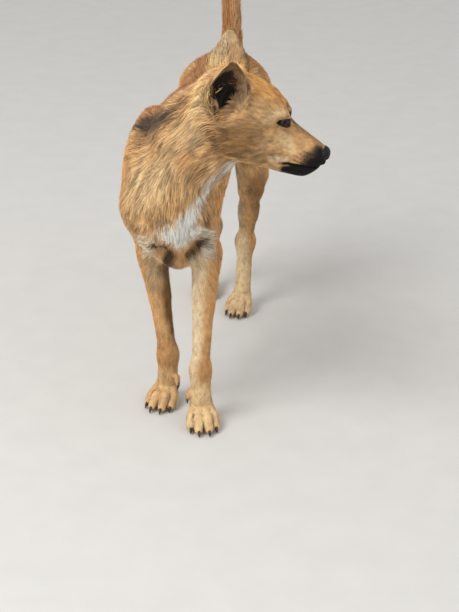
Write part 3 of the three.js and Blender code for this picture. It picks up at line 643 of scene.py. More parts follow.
# How far the skin lies inside the outer shape, and how much deeper in soft spots: place, spread and depth.
SKIN_DEPTH = 0.9
DEEP_SPOTS = [
    ((40, -250, 500), (75, 75, 75), 7.0),
    ((75, -235, 555), (45, 45, 45), 4.0),
    ((0, -250, 400), (90, 60, 70), 5.0),
    ((-5, -60, 430), (110, 130, 110), 4.0),
    ((0, 130, 440), (110, 130, 90), 3.5),
    ((0, 255, 440), (90, 60, 90), 3.5),
    ((-3, 290, 522), (40, 40, 45), 4.2),
    ((-5, 300, 590), (40, 40, 45), 4.6),
    ((-6, 300, 660), (40, 40, 45), 4.6),
    ((-4, 288, 718), (30, 30, 35), 3.0),
]
SOLE = 0.25  # the soles stand this high, so that the pads just touch the floor


def skin_depth(*axes):
    depth = F32(SKIN_DEPTH)
    for at, spread, amount in DEEP_SPOTS:
        parts = [np.exp(-(((axis - c) / s) ** 2)) for axis, c, s in zip(axes, at, spread)]
        depth = depth + F32(amount) * parts[0] * parts[1] * parts[2]
    return depth


def skin_distance(*axes):
    d = solid_dog.distance(*axes) + skin_depth(*axes)
    for form in EAR_FORMS:
        join(d, EAR_BLEND, form, axes)
    join(d, EAR_BLEND, EAR_HOLES, axes, -1)
    return np.maximum(d, SOLE - axes[2])


def zero_surface(values, low, voxel):
    """Corners (mm), triangles and quads of the surface where distances on a grid are zero."""
    reach = 3 * voxel
    grid = openvdb.FloatGrid(reach)
    grid.copyFromArray(np.clip(values, -reach, reach).astype(F32))
    points, triangles, quads = grid.convertToPolygons(isovalue=0.0, adaptivity=0.0)
    return points * voxel + low, triangles, quads


class Field:
    """Distances to the skin, sampled on an even grid."""

    def __init__(self, low, high, voxel):
        self.low, self.voxel = np.array(low, float), voxel
        steps = [int(math.ceil((h - l) / voxel)) for l, h in zip(low, high)]
        axes = [(l + voxel * np.arange(n + 1)).astype(F32) for l, n in zip(low, steps)]
        self.values = skin_distance(*np.ix_(*axes))

    def surface(self):
        points, triangles, quads = zero_surface(self.values, self.low, self.voxel)
        return points, [*triangles.tolist(), *quads.tolist()]

    def sample(self, p):
        """Trilinear distance and slope at loose points."""
        q = (p - self.low) / self.voxel
        i = np.clip(np.floor(q).astype(int), 0, np.array(self.values.shape) - 2)
        tx, ty, tz = np.clip(q - i, 0, 1).T
        x, y, z = (i[:, :, None] + (0, 1)).transpose(1, 0, 2)
        c = self.values[x[:, :, None, None], y[:, None, :, None], z[:, None, None, :]].astype(float)

        def between(v, t):
            return v[:, 0] * (1 - t) + v[:, 1] * t

        cx = between(c, tx[:, None, None])
        cxy = between(cx, ty[:, None])
        slope_x = between(between(c[:, 1] - c[:, 0], ty[:, None]), tz)
        slope_y = between(cx[:, 1] - cx[:, 0], tz)
        slope_z = cxy[:, 1] - cxy[:, 0]
        return between(cxy, tz), np.stack([slope_x, slope_y, slope_z], 1) / self.voxel


def mesh_from(name, points, faces):
    mesh = bpy.data.meshes.new(name)
    mesh.from_pydata([tuple(p) for p in points], [], faces)
    return mesh


def add_mesh(bm, mesh):
    """Adds a mesh to a bmesh and drops the mesh."""
    bm.from_mesh(mesh)
    bpy.data.meshes.remove(mesh)


def groups(items, neighbours):
    """Groups the items that touch, in the order of the first of each."""
    left = dict.fromkeys(items)
    found = []
    while left:
        group = [next(iter(left))]
        del left[group[0]]
        for item in group:
            for other in neighbours(item):
                if other in left:
                    del left[other]
                    group.append(other)
        found.append(group)
    return found


def mesh_of(bm, name):
    """Turns a bmesh into a mesh and drops the bmesh."""
    mesh = bpy.data.meshes.new(name)
    bm.to_mesh(mesh)
    bm.free()
    return mesh


CUT_SNAP = 1e-4


def cut_part(surface, *planes):
    """The biggest connected sheet of a surface, on the positive side of some planes."""
    bm = bmesh.new()
    add_mesh(bm, mesh_from("part", *surface))
    for point, normal in planes:
        everything = [*bm.verts, *bm.edges, *bm.faces]
        plane = dict(plane_co=Vector(point), plane_no=Vector(normal))
        bmesh.ops.bisect_plane(bm, geom=everything, clear_inner=True, dist=CUT_SNAP, **plane)
    sheets = groups(bm.verts, lambda v: [e.other_vert(v) for e in v.link_edges])
    biggest = set(max(sheets, key=len))
    bmesh.ops.delete(bm, geom=[v for v in bm.verts if v not in biggest], context="VERTS")
    return bm


BODY_VOXEL, HEAD_VOXEL, PAW_VOXEL = 4.0, 1.35, 1.8
NAPE = np.array((56, -236, 516))  # the plane across the neck between the coarse and fine skins
NAPE_NORMAL = unit((0.47, -0.51, 0.72))
ANKLE = 35.5  # height of the cut above each paw

body_field = Field((-100, -345, -8), (268, 350, 765), BODY_VOXEL)
head_field = Field((-10, -350, 420), (268, -160, 655), HEAD_VOXEL)
paw_fields = {}
for name, leg in LEGS.items():
    x, y = leg["paw"]
    paw_fields[name] = Field((x - 45, y - 60, -3), (x + 45, y + 55, ANKLE + 8), PAW_VOXEL)


def rim_middle(edges):
    return sum((v.co for e in edges for v in e.verts), Vector()) / (2 * len(edges))


def build_skin():
    """One closed skin, with a finer mesh on the head and paws, stitched along flat rings."""
    ankle = (0, 0, ANKLE)
    whole = cut_part(body_field.surface(), (NAPE, -NAPE_NORMAL), (ankle, (0, 0, 1)))
    add_mesh(whole, mesh_of(cut_part(head_field.surface(), (NAPE, NAPE_NORMAL)), "head"))
    for field in paw_fields.values():
        add_mesh(whole, mesh_of(cut_part(field.surface(), (ankle, (0, 0, -1))), "paw"))
    open_edges = [e for e in whole.edges if e.is_boundary]
    rims = groups(open_edges, lambda e: [o for v in e.verts for o in v.link_edges])
    while rims:
        rim = rims.pop()
        middle = rim_middle(rim)
        k = min(range(len(rims)), key=lambda n: (rim_middle(rims[n]) - middle).length)
        bmesh.ops.bridge_loops(whole, edges=[*rim, *rims.pop(k)])
    bmesh.ops.recalc_face_normals(whole, faces=whole.faces)
    return mesh_of(whole, "skin")


skin_mesh = build_skin()

# ---------------------------------------------------------------- placing pieces

MM = 0.001
eye_low, eye_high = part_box("eye_left")
SHIFT = np.array((eye_low + eye_high) / 2) - HEAD.out(*EYE_AT) * MM


def metres(p):
    return (np.asarray(p) * MM + SHIFT).astype(F32)


def piece(name, mesh, material, slot, *nodes):
    thing = bpy.data.objects.new(name, mesh)
    bpy.context.scene.collection.objects.link(thing)
    mesh.materials.clear()
    mesh.materials.append(material)
    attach(thing, "root")
    if nodes:
        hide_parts(*nodes)
    return thing


def read(collection, name, width, dtype=float):
    out = np.empty(len(collection) * width, dtype)
    collection.foreach_get(name, out)
    return out.reshape(-1, width)


def paint(mesh, colours):
    """Stores one linear colour for each corner point of a mesh."""
    layer = mesh.color_attributes.new("coat", "FLOAT_COLOR", "POINT")
    rgba = np.ones((len(mesh.vertices), 4), F32)
    rgba[:, :3] = colours
    layer.data.foreach_set("color", rgba.ravel())


def mesh_of_triangles(name, points, triangles, uv):
    """A mesh from arrays of points (mm), triangles and places on the map."""
    mesh = bpy.data.meshes.new(name)
    mesh.vertices.add(len(points))
    mesh.vertices.foreach_set("co", metres(points).ravel())
    mesh.loops.add(triangles.size)
    mesh.loops.foreach_set("vertex_index", triangles.astype(np.int32).ravel())
    mesh.polygons.add(len(triangles))
    mesh.polygons.foreach_set("loop_start", np.arange(0, triangles.size, 3, dtype=np.int32))
    layer = mesh.uv_layers.new(name="OFBake")
    layer.data.foreach_set("uv", uv[triangles.ravel()].astype(F32).ravel())
    mesh.update()
    mesh.validate()
    mesh.shade_smooth()
    return mesh


# ---------------------------------------------------------------- noise and colours


def lattice(i, seed):
    """An even random number for each whole-number place."""
    h = i[..., 0] * 374761393 + i[..., 1] * 668265263 + i[..., 2] * 2147483647 + seed * 974634777
    h = (h ^ (h >> 13)) * 1274126177
    h = h ^ (h >> 16)
    return (h & 0xFFFFFF) / float(0x1000000)


def noise(p, size, seed=0):
    """Smooth noise from -1 to 1 whose lumps are about one size across."""
    q = np.asarray(p) / size + 1000
    i = np.floor(q).astype(np.int64)
    t = q - i
    t = t * t * (3 - 2 * t)
    total = 0
    for a in (0, 1):
        for b in (0, 1):
            for c in (0, 1):
                w = (t[:, 0] if a else 1 - t[:, 0]) * (t[:, 1] if b else 1 - t[:, 1])
                total = total + w * (t[:, 2] if c else 1 - t[:, 2]) * lattice(i + (a, b, c), seed)
    return total * 2 - 1


def rgb(r, g, b):
    """A colour given in display values, 0 to 255, as linear light."""
    v = np.array([r, g, b]) / 255
    return np.where(v <= 0.04045, v / 12.92, ((v + 0.055) / 1.055) ** 2.4)


TAN = rgb(212, 166, 114)
GOLD = rgb(222, 162, 98)
APRICOT = rgb(255, 206, 140)
RUST = rgb(176, 120, 74)
SAND = rgb(238, 200, 150)
BUFF = rgb(246, 210, 162)
CREAM = rgb(240, 212, 172)
WHITE = rgb(255, 250, 238)
BRONZE = rgb(168, 118, 68)
UMBER = rgb(108, 78, 44)
SABLE = rgb(72, 62, 54)
GREY = rgb(166, 150, 124)
SOOT = rgb(50, 40, 32)
BLACK = rgb(13, 11, 10)
# painted shade for the deep of the ear cups and the ear openings
HOLLOW_SHADE = rgb(16, 9, 7)


def one(colour, strength, softness, *line):
    """A stroke of colour: its strength, the softness of its edge, and places with radii."""
    return False, colour, strength, softness, np.array(line, float)


def both(colour, strength, softness, *line):
    """A stroke drawn on the left and mirrored on the right."""
    return True, colour, strength, softness, np.array(line, float)


# Places read left, back and up in the dog's frame, and forward, left and up in the head's.
DOG_STROKES = [
    # trunk and neck
    one(CREAM, 0.55, 0.9, (-10, -190, 262, 40), (-10, 0, 262, 52), (-6, 150, 320, 44)),
    one(RUST, 0.9, 0.9, (-12, -150, 520, 52), (-8, 60, 500, 58), (0, 240, 505, 60)),
    both(RUST, 0.7, 1.0, (62, -40, 450, 40), (64, 120, 450, 40)),
    both(GOLD, 0.55, 0.9, (84, -190, 420, 46), (78, -150, 320, 40)),
    both(GOLD, 0.5, 0.9, (84, 200, 430, 50), (70, 180, 320, 36)),
    one(SAND, 0.7, 0.9, (-40, -262, 440, 32), (-46, -258, 410, 28), (-10, -286, 440, 22)),
    one(SAND, 0.6, 0.9, (50, -305, 545, 26), (30, -296, 515, 22)),
    one(SABLE, 0.9, 0.8,
        (14, -264, 547, 7), (-8, -250, 530, 15), (-28, -228, 514, 17), (-50, -190, 494, 15),
    ),
    one(SABLE, 0.6, 1.0, (-50, -190, 494, 15), (-68, -166, 476, 10)),
    one(SABLE, 0.5, 1.0, (10, -253, 550, 9), (36, -277, 573, 7)),
    one(SABLE, 0.4, 1.0, (-22, -246, 502, 12), (-44, -214, 478, 15), (-58, -200, 450, 10)),
    one(SABLE, 0.4, 1.0, (-10, -205, 528, 26), (-6, -150, 512, 30), (4, -90, 505, 20)),
    one(SABLE, 0.4, 1.0, (20, -180, 512, 22), (48, -150, 486, 20)),
    one(rgb(240, 192, 134), 0.75, 0.9, (54, -272, 600, 16), (59, -222, 610, 20)),
    one(APRICOT, 0.9, 0.9, (55, -297, 590, 15), (57, -306, 565, 15), (60, -309, 545, 13)),
    one(SAND, 0.7, 0.9, (52, -302, 520, 13), (48, -298, 500, 10)),
    # painted shade: dark lines in the crease where the neck turns past the shoulder, on down the chest, and
    # in the fold under the jaw
    one(rgb(90, 60, 32), 0.9, 0.9,
        (76, -300, 482, 8), (58, -292, 460, 10), (32, -287, 430, 8), (8, -284, 402, 7),
    ),
    one(UMBER, 0.45, 0.9, (8, -284, 402, 8), (-4, -278, 376, 9), (-14, -256, 322, 9)),
    one(rgb(84, 56, 28), 0.9, 0.9, (74, -314, 534, 5), (79, -310, 510, 6), (82, -301, 484, 7)),
    one(SAND, 0.7, 0.9, (-6, -270, 464, 24), (-22, -268, 436, 20)),
    one(SAND, 0.4, 0.9, (19, -282, 517, 20), (2, -280, 494, 20)),
    one(CREAM, 0.7, 0.9, (-4, -266, 352, 14), (-36, -254, 330, 13), (-48, -234, 304, 17)),
    one(WHITE, 0.95, 0.7, (-6, -264, 350, 13), (14, -256, 340, 16), (38, -248, 345, 12)),
    one(WHITE, 1.0, 0.6,
        (10, -248, 322, 10), (18, -263, 350, 20), (30, -269, 376, 16), (47, -270, 401, 12),
    ),
    one(WHITE, 0.9, 0.7,
        (47, -270, 401, 12), (60, -273, 419, 11), (71, -275, 435, 10), (92, -276, 452, 11),
    ),
    # painted shade: a dark edge beside the white of the chest, on its shaded left side
    one(rgb(96, 70, 44), 0.85, 0.9, (52, -246, 358, 7), (58, -255, 380, 9), (74, -266, 412, 6)),
    one(rgb(236, 222, 200), 0.9, 0.9, (48, -236, 332, 12), (50, -220, 312, 15), (46, -206, 290, 14)),
    one(rgb(236, 216, 186), 0.85, 0.9, (-38, -250, 325, 10), (-46, -232, 304, 14), (-48, -206, 284, 14)),
    one(rgb(150, 112, 68), 0.8, 0.9, (0, -236, 300, 9), (0, -226, 282, 10)),
    # dark whorls of hair inside the elbows, deepened with painted shade
    one(rgb(60, 38, 20), 1.0, 0.7,
        (-29, -248, 314, 9), (-20, -248, 309, 13), (-12, -243, 299, 14), (-13, -222, 278, 10),
    ),
    one(rgb(66, 42, 22), 1.0, 0.7,
        (42, -228, 317, 8), (34, -224, 309, 12), (26, -216, 297, 12), (19, -204, 283, 11),
    ),
    one(UMBER, 0.3, 0.9, (-2, -226, 286, 14), (-6, -190, 268, 16)),
    # tail
    one(RUST, 0.7, 0.7, (-14, 270, 500, 18), (-16, 288, 560, 16), (-16, 292, 700, 14)),
    one(RUST, 0.8, 0.7, (0, 318, 520, 18), (-4, 322, 640, 18), (-2, 308, 720, 16)),
    one(SAND, 0.6, 0.8, (12, 276, 520, 13), (10, 288, 600, 13), (8, 286, 690, 11)),
    one(SABLE, 0.6, 0.8, (-2, 292, 722, 14), (0, 274, 748, 16)),
    one(SAND, 0.7, 0.9, (0, 296, 440, 26), (0, 288, 380, 26)),
    # legs
    one(CREAM, 0.85, 0.9, (26, -196, 268, 15), (28, -208, 210, 13), (33, -222, 150, 10), (33, -238, 80, 9)),
    one(BRONZE, 0.35, 1.0, (48, -240, 126, 11), (45, -238, 94, 13)),
    one(rgb(170, 142, 108), 0.65, 1.0, (-46, -194, 246, 10), (-44, -192, 214, 8)),
    one(CREAM, 0.5, 0.9, (18, -180, 262, 14), (22, -195, 190, 12), (26, -205, 140, 10)),
    # painted shade on the inner side of the right foreleg
    one(UMBER, 0.85, 0.9, (-22, -178, 260, 15), (-20, -179, 200, 13), (-13, -180, 140, 9)),
    one(BRONZE, 0.35, 1.0, (-30, -196, 126, 12), (-26, -196, 94, 14)),
    one(GREY, 0.55, 0.9, (24, 170, 300, 26), (22, 205, 210, 18), (24, 245, 130, 14)),
    one(GREY, 0.55, 0.9, (-28, 190, 300, 26), (-26, 240, 210, 18), (-28, 305, 130, 14)),
    # painted shade down the outer side of each hind leg
    both(UMBER, 0.6, 1.0, (70, 150, 285, 22), (66, 196, 230, 16), (56, 236, 160, 10)),
    one(CREAM, 0.75, 0.9, (30, 230, 140, 13), (33, 228, 110, 15), (33, 220, 60, 18)),
    one(CREAM, 0.75, 0.9, (-34, 294, 140, 13), (-38, 292, 110, 15), (-40, 284, 60, 18)),
    one(rgb(255, 214, 160), 0.9, 1.0, (42, -236, 62, 16), (46, -246, 34, 24), (48, -252, 12, 34)),
    one(rgb(240, 196, 142), 0.85, 1.0, (-27, -188, 60, 16), (-30, -190, 34, 24), (-32, -192, 12, 34)),
    one(BUFF, 0.85, 0.9, (34, 214, 46, 20), (33, 204, 30, 26), (33, 196, 12, 34)),
    one(BUFF, 0.85, 0.9, (-40, 278, 46, 20), (-40, 268, 30, 26), (-41, 260, 12, 34)),
]
HEAD_STROKES = [
    # head
    one(rgb(236, 170, 98), 0.9, 0.9, (-15, 0, 16, 22), (-45, 0, 30, 34), (-75, 0, 24, 36)),
    one(WHITE, 0.7, 0.8, (-70, 4, -100, 16), (-30, 0, -100, 17), (14, 0, -92, 12)),
    both(rgb(138, 100, 60), 0.75, 1.0, (-44, 50, -30, 20), (-62, 52, -66, 22)),
    both(rgb(160, 126, 86), 0.7, 1.0, (-34, 42, -72, 17), (0, 30, -64, 13)),
    both(UMBER, 0.4, 1.0, (-84, 52, -50, 12), (-66, 54, -34, 10)),
    both(SAND, 0.85, 0.9, (-2, 28, -26, 8), (14, 24, -30, 8), (24, 23, -42, 6)),
    both(SAND, 0.8, 0.9, (-34, 38, -6, 8), (-14, 27, 8, 6)),
    both(CREAM, 0.8, 0.9, (2, 27, -66, 6), (12, 25, -62, 6), (20, 24, -57, 4)),
    one(UMBER, 0.5, 1.0, (10, 0, -8, 9), (40, 0, -18, 9), (60, 0, -24, 8)),
    # painted shade in the fold between each brow ridge and the bridge, above the inner corner of the eye
    both(SOOT, 0.6, 1.0, (-5, 13, 1, 3), (-9, 14, 9, 3)),
    one(BLACK, 1.0, 0.6, (76, 0, -46, 9), (72, 0, -54, 10)),
    both(rgb(96, 68, 44), 0.65, 1.0, (56, 14, -36, 11), (48, 19, -46, 10)),
    both(SOOT, 0.9, 1.0, (60, 13, -33, 10), (56, 19, -46, 11), (50, 20, -56, 9)),
    both(BLACK, 1.0, 0.6, (68, 10, -40, 14.5), (60, 18, -50, 11)),
    both(BLACK, 1.0, 0.4, (62, 16, -60, 10), (48, 18, -68, 10), (34, 18, -73, 9.5), (27, 17, -75, 8)),
    one(BLACK, 1.0, 0.4, (66, 0, -62, 14), (50, 0, -76, 16), (34, 0, -84, 16), (25, 0, -86, 13)),
    # ears
    both(CREAM, 0.7, 0.9, (-126, 46, -18, 18), (-124, 58, 14, 18), (-122, 66, 40, 16)),
    both(SABLE, 0.5, 1.0, (-74, 40, 16, 8), (-70, 42, 6, 7)),
]
# Rows of dark dots where the whiskers grow, and painted shade in the gaps between the toes.
WHISKER_ROWS = [(40, 58, -37), (36, 58, -43), (33, 56, -49), (32, 50, -55)]
for row, (start, end, up) in enumerate(WHISKER_ROWS):
    for k in range(5):
        spot = (mix(start, end, k / 4), 21, up + 0.8 * math.sin(3 * k + row), 1.5)
        HEAD_STROKES.append(both(BLACK, 0.85, 0.9, spot))
# painted shade: dark strokes in the gaps between the toes of each paw
for leg in LEGS.values():
    foot = paw_frame(leg)
    for gap in (-1, 0, 1):
        spread = toe_place(leg, gap * 0.5)[1] * 2
        ends = [(*foot.out(12, spread * 0.95, 25), 1.8), (*foot.out(36 - 7 * abs(gap), spread, 7), 4.2)]
        DOG_STROKES.append(one(rgb(88, 56, 40), 0.85, 0.9, *ends))


def stroke_weight(line, softness, q, ragged):
    """How strongly a stroke covers each place: 1 inside its radius, fading past its edge."""
    ends = zip(line[:-1], line[1:]) if len(line) > 1 else [(line[0], line[0])]
    nearest = np.full(len(q), FAR)
    for a, b in ends:
        d = b[:3] - a[:3]
        t = np.clip(((q - a[:3]) @ d) / max(d @ d, 1e-9), 0, 1)
        away = np.linalg.norm(q - a[:3] - t[:, None] * d, axis=1) / mix(a[3], b[3], t)
        nearest = np.minimum(nearest, away)
    return smooth(1 + softness / 2, 1 - softness / 2, nearest + ragged)


def draw(strokes, p, across, colour, ragged):
    """Draws strokes over the colours at places; mirrored ones are folded along the axis across."""
    for mirrored, tint, strength, softness, line in strokes:
        q = p
        if mirrored:
            q = p.copy()
            q[:, across] = np.abs(q[:, across])
        low, high = line[:, :3].min(0), line[:, :3].max(0)
        reach = line[:, 3].max() * (1.6 + softness)
        close = np.all((q > low - reach) & (q < high + reach), axis=1)
        w = strength * stroke_weight(line, softness, q[close], ragged[close])
        colour[close] = mix(colour[close], tint, w[:, None])


def lid_edge(h):
    """How close a place in the head's frame is to the rim of the nearer eye opening."""
    side = np.where(h[:, 1] > 0, 1.0, -1.0)
    best = np.full(len(h), FAR)
    for s in (1, -1):
        a, b, c = eye_local(s, *h.T)
        d = lid_opening(a, b)
        best = np.where((side == s) & (c > -4), np.minimum(best, d), best)
    return best


def ear_colour(ear, p, colour):
    """Golden behind and at the rear rim, olive within the tip, beige at the fore rim, and black painted
    shade in the cup.
    """
    radial, past, t, edge, turn = ear.cup(p)
    close = smooth(9, 4, np.abs(radial)) * smooth(6, 3, past) * smooth(-0.08, 0.1, t)
    inner = smooth(0.6, -0.6, radial) * close
    behind = smooth(0.0, 1.5, radial) * close
    middle = smooth(-75, -45, turn)
    rim = smooth(-6.0, -1.0, edge) * close
    streak = noise(p, 4, 21)
    bent = turn / cup_width(t) + 8 * streak
    deep = inner * smooth(40, 26, bent) * smooth(-54, -40, bent)
    deep = deep * smooth(0.0, 0.08, t) * smooth(0.86, 0.76, t + 0.04 * streak)
    red = deep * smooth(6, 16, turn) * smooth(36, 26, turn) * smooth(0.15, 0.3, t)
    fore_rim = rim * smooth(40, 60, turn) * smooth(0.35, 0.5, t) * smooth(0.7, 0.6, t)
    layers = [
        (rgb(134, 102, 66), inner * smooth(0.02, 0.2, t)),
        (rgb(178, 150, 120), 0.8 * inner * smooth(34, 58, turn) * smooth(0.9, 0.6, t)),
        (rgb(186, 146, 98), 0.8 * inner * smooth(-40, -62, turn)),
        # painted shade: near black deep in the cup
        (HOLLOW_SHADE, deep),
        (rgb(62, 30, 24), 0.8 * red),
        (UMBER, 0.8 * rim * smooth(0.7, 0.9, t)),
        (SOOT, 0.8 * fore_rim),
        # painted shade at the ear's opening on the head
        (HOLLOW_SHADE, ear.hollow(p)),
        (rgb(186, 158, 120), 0.6 * behind * middle * smooth(0.45, 0.7, t)),
        (UMBER, 0.35 * behind * middle * smooth(0.4, 0.7, t) * smooth(0.0, 0.8, streak)),
        (rgb(255, 204, 138), 0.9 * behind * np.maximum(smooth(0.6, 0.4, t), 1 - middle)),
    ]
    for tint, weight in layers:
        colour = mix(colour, tint, weight[:, None])
    return colour


def coat_colour(p, n):
    """The markings at places on the skin (mm) with their outward directions."""
    h = HEAD.inward_points(p)
    coarse, middling, fine = noise(p, 28, 1), noise(p, 11, 3), noise(p, 5, 2)
    ragged = 0.16 * coarse + 0.12 * middling + 0.10 * fine
    on_legs = smooth(340, 270, p[:, 2]) * smooth(30, 70, p[:, 2])
    outward = np.clip(n[:, 0] * np.sign(p[:, 0] + 2), 0, 1)
    grounds = [
        (SAND, 0.35 * smooth(-0.2, 0.9, coarse + 0.5 * middling)),
        (RUST, 0.30 * smooth(0.1, 1.0, -coarse + 0.6 * fine)),
        (GOLD, 0.7 * on_legs * outward),  # the outer sides of the legs
    ]
    colour = np.tile(TAN, (len(p), 1))
    for tint, weight in grounds:
        colour = mix(colour, tint, weight[:, None])
    draw(DOG_STROKES, p, 0, colour, ragged)
    draw(HEAD_STROKES, h, 1, colour, ragged)
    for ear in EARS:
        colour = ear_colour(ear, p, colour)
    # the rims of the lids, the tear line and the lips are black
    f, l, u = h.T
    rim = smooth(3.6, 1.5, lid_edge(h))
    tear = smooth(6.0, 2.0, np.hypot(f - 5, np.abs(l) - 16.5) + np.abs(u + 9.5))
    lips = smooth(3.2, 1.6, mouth_away(f, u)) * smooth(10, 20, f)
    colour = mix(colour, BLACK, np.maximum(np.maximum(rim, tear), lips)[:, None])
    return np.maximum(colour, 0) * (1 + 0.12 * fine + 0.10 * middling)[:, None]


# ---------------------------------------------------------------- the lie of the coat

# Guides: place, direction of the hair, length (mm) and lift (degrees). A guide of the head that lies
# off its middle is mirrored.
HEAD_GUIDES = [
    ((62, 0, -24), (-1, 0, 0.2), 3.0, 6),
    ((35, 0, -10), (-1, 0, 0.2), 4.0, 7),
    ((8, 0, 0), (-1, 0, 0.6), 5.0, 8),
    ((-20, 14, 22), (-1, 0.2, 0.3), 6.5, 9),
    ((-55, 0, 32), (-1, 0, -0.05), 9, 10),
    ((-60, 30, 22), (-1, 0.3, 0), 9, 10),
    ((-90, 0, 16), (-1, 0, -0.4), 13, 13),
    ((50, 20, -45), (-1, 0.1, -0.35), 3.2, 6),
    ((25, 22, -45), (-1, 0.3, -0.1), 4.5, 7),
    ((5, 26, -30), (-1, 0.5, 0), 4.5, 7),
    ((-8, 34, -22), (-1, 0.3, -0.2), 5.0, 8),
    ((-28, 40, 0), (-1, 0.3, 0.1), 6.5, 8),
    ((-35, 48, -40), (-1, 0.2, -0.25), 8, 9),
    ((-60, 50, -30), (-1, 0.1, -0.4), 12, 11),
    ((10, 22, -72), (-1, 0.2, -0.1), 5.5, 8),
    ((45, 12, -74), (-1, 0, 0), 3.5, 6),
    ((30, 0, -86), (-1, 0, 0), 5.0, 8),
    ((-30, 34, -82), (-1, 0.1, -0.3), 10, 10),
    ((-30, 0, -96), (-1, 0, -0.1), 11, 10),
    ((-70, 40, -70), (-0.7, 0, -0.8), 16, 13),
    ((-110, 46, -30), (-0.8, 0.3, -0.6), 26, 22),
    ((-112, 56, 10), (-0.6, 0.5, 0.5), 18, 24),
]
LONE_GUIDES = [
    ((62, -215, 570), (-0.5, 0.6, -0.5), 22, 14),
    ((40, -300, 535), (-0.6, 0.1, -0.8), 24, 13),
    ((5, -285, 500), (-0.7, 0.3, -0.7), 23, 10),
    ((90, -225, 500), (0.1, 0.7, -0.8), 24, 12),
    ((80, -285, 450), (-0.7, 0.1, -0.6), 20, 12),
    ((20, -180, 540), (-0.5, 0.8, -0.4), 21, 9),
    ((0, -285, 420), (-0.1, 0.1, -1), 21, 9),
    ((0, -270, 350), (0, 0.3, -1), 19, 9),
    ((-8, -225, 290), (0, 0.8, -0.6), 12, 9),
    ((-17, -240, 302), (-0.2, 0.3, -1), 9, 9),
    ((19, -219, 300), (0.2, 0.3, -1), 9, 9),
    ((-42, -236, 302), (-1, 0.3, -0.35), 15, 17),
    ((-46, -206, 280), (-0.8, 0.3, -0.7), 13, 14),
    ((48, -222, 310), (1, 0.3, -0.15), 14, 16),
    ((44, -204, 284), (0.7, 0.2, -0.8), 13, 13),
    ((-8, -120, 505), (0, 1, -0.05), 20, 7),
    ((-8, -60, 265), (0, 1, 0), 14, 9),
    ((-8, 30, 490), (0, 1, 0), 22, 8),
    ((-5, 60, 305), (0, 1, 0.1), 14, 9),
    ((0, 180, 500), (0, 1, 0), 22, 8),
    ((0, 272, 485), (0, 0.6, 0.8), 22, 10),
    ((-4, 282, 560), (0, 0.0, 1), 22, 9),
    ((-4, 320, 560), (0, 0.1, 1), 26, 13),
    ((-4, 290, 660), (0, -0.1, 1), 22, 10),
    ((-4, 322, 660), (0, 0, 1), 26, 14),
    ((0, 275, 735), (0, -0.3, 1), 16, 11),
]
PAIRED_GUIDES = [
    ((60, -250, 400), (0.2, 0.3, -1), 18, 9),
    ((55, -220, 470), (0, 0.7, -0.7), 20, 9),
    ((75, -160, 400), (0.1, 0.6, -0.8), 20, 8),
    ((55, -60, 470), (0, 0.95, -0.3), 22, 8),
    ((75, -60, 390), (0, 0.9, -0.45), 20, 8),
    ((40, -60, 290), (0, 0.9, -0.4), 16, 9),
    ((62, 60, 420), (0, 0.9, -0.4), 19, 8),
    ((60, 130, 400), (0, 0.7, -0.7), 16, 9),
    ((40, 250, 480), (0.1, 0.7, -0.6), 20, 9),
    ((75, 200, 400), (0.1, 0.35, -0.95), 17, 8),
    ((40, 292, 420), (0, 0.2, -1), 20, 12),
    ((65, 190, 310), (0, 0.3, -1), 13, 8),
    ((14, 190, 340), (0, 0.2, -1), 10, 8),
    ((40, 250, 240), (0, 0.4, -1), 10, 9),
    ((40, 180, 230), (0, 0.3, -1), 10, 7),
    ((38, 270, 140), (0, 0.1, -1), 7, 7),
    ((36, 240, 80), (0, -0.1, -1), 7, 9),
    ((48, -185, 290), (0.1, 0.2, -1), 13, 8),
    ((45, -150, 280), (0, 0.5, -1), 15, 12),
    ((42, -200, 180), (0, 0, -1), 8, 7),
    ((42, -170, 190), (0, 0.2, -1), 9, 8),
    ((36, -215, 90), (0, -0.1, -1), 7, 9),
    ((36, -240, 30), (0, -0.8, -0.6), 7, 13),
    ((36, -190, 25), (0, -0.5, -0.6), 7, 13),
    ((38, 200, 30), (0, -0.8, -0.6), 7, 13),
    ((36, 240, 20), (0, -0.5, -0.6), 6.5, 12),
]


def guide_rows():
    """Place, direction, length and lift of every guide in the dog's frame."""
    rows = []
    for (f, l, u), (to_f, to_l, to_u), length, lift in HEAD_GUIDES:
        for s in (1, -1) if l else (1,):
            way = unit(HEAD.vector(to_f, s * to_l, to_u))
            rows.append([*HEAD.out(f, s * l, u), *way, length, lift])
    for guides, sides in ((LONE_GUIDES, (1,)), (PAIRED_GUIDES, (1, -1))):
        for (x, y, z), (to_x, to_y, to_z), length, lift in guides:
            rows += [[s * x, y, z, *unit((s * to_x, to_y, to_z)), length, lift] for s in sides]
    return np.array(rows)


GUIDE_ROWS = guide_rows()
GUIDE_SOFTNESS = 60  # added to squared distances (mm), so that no guide's pull is endless
WIDTH_LEAST, WIDTH_GROWTH = 0.5, 0.022  # a tuft's width (mm), and how it grows with its length


def flat(way, n):
    """A direction laid flat on a surface with the normals n."""
    return unit(way - n * (way * n).sum(1, keepdims=True))


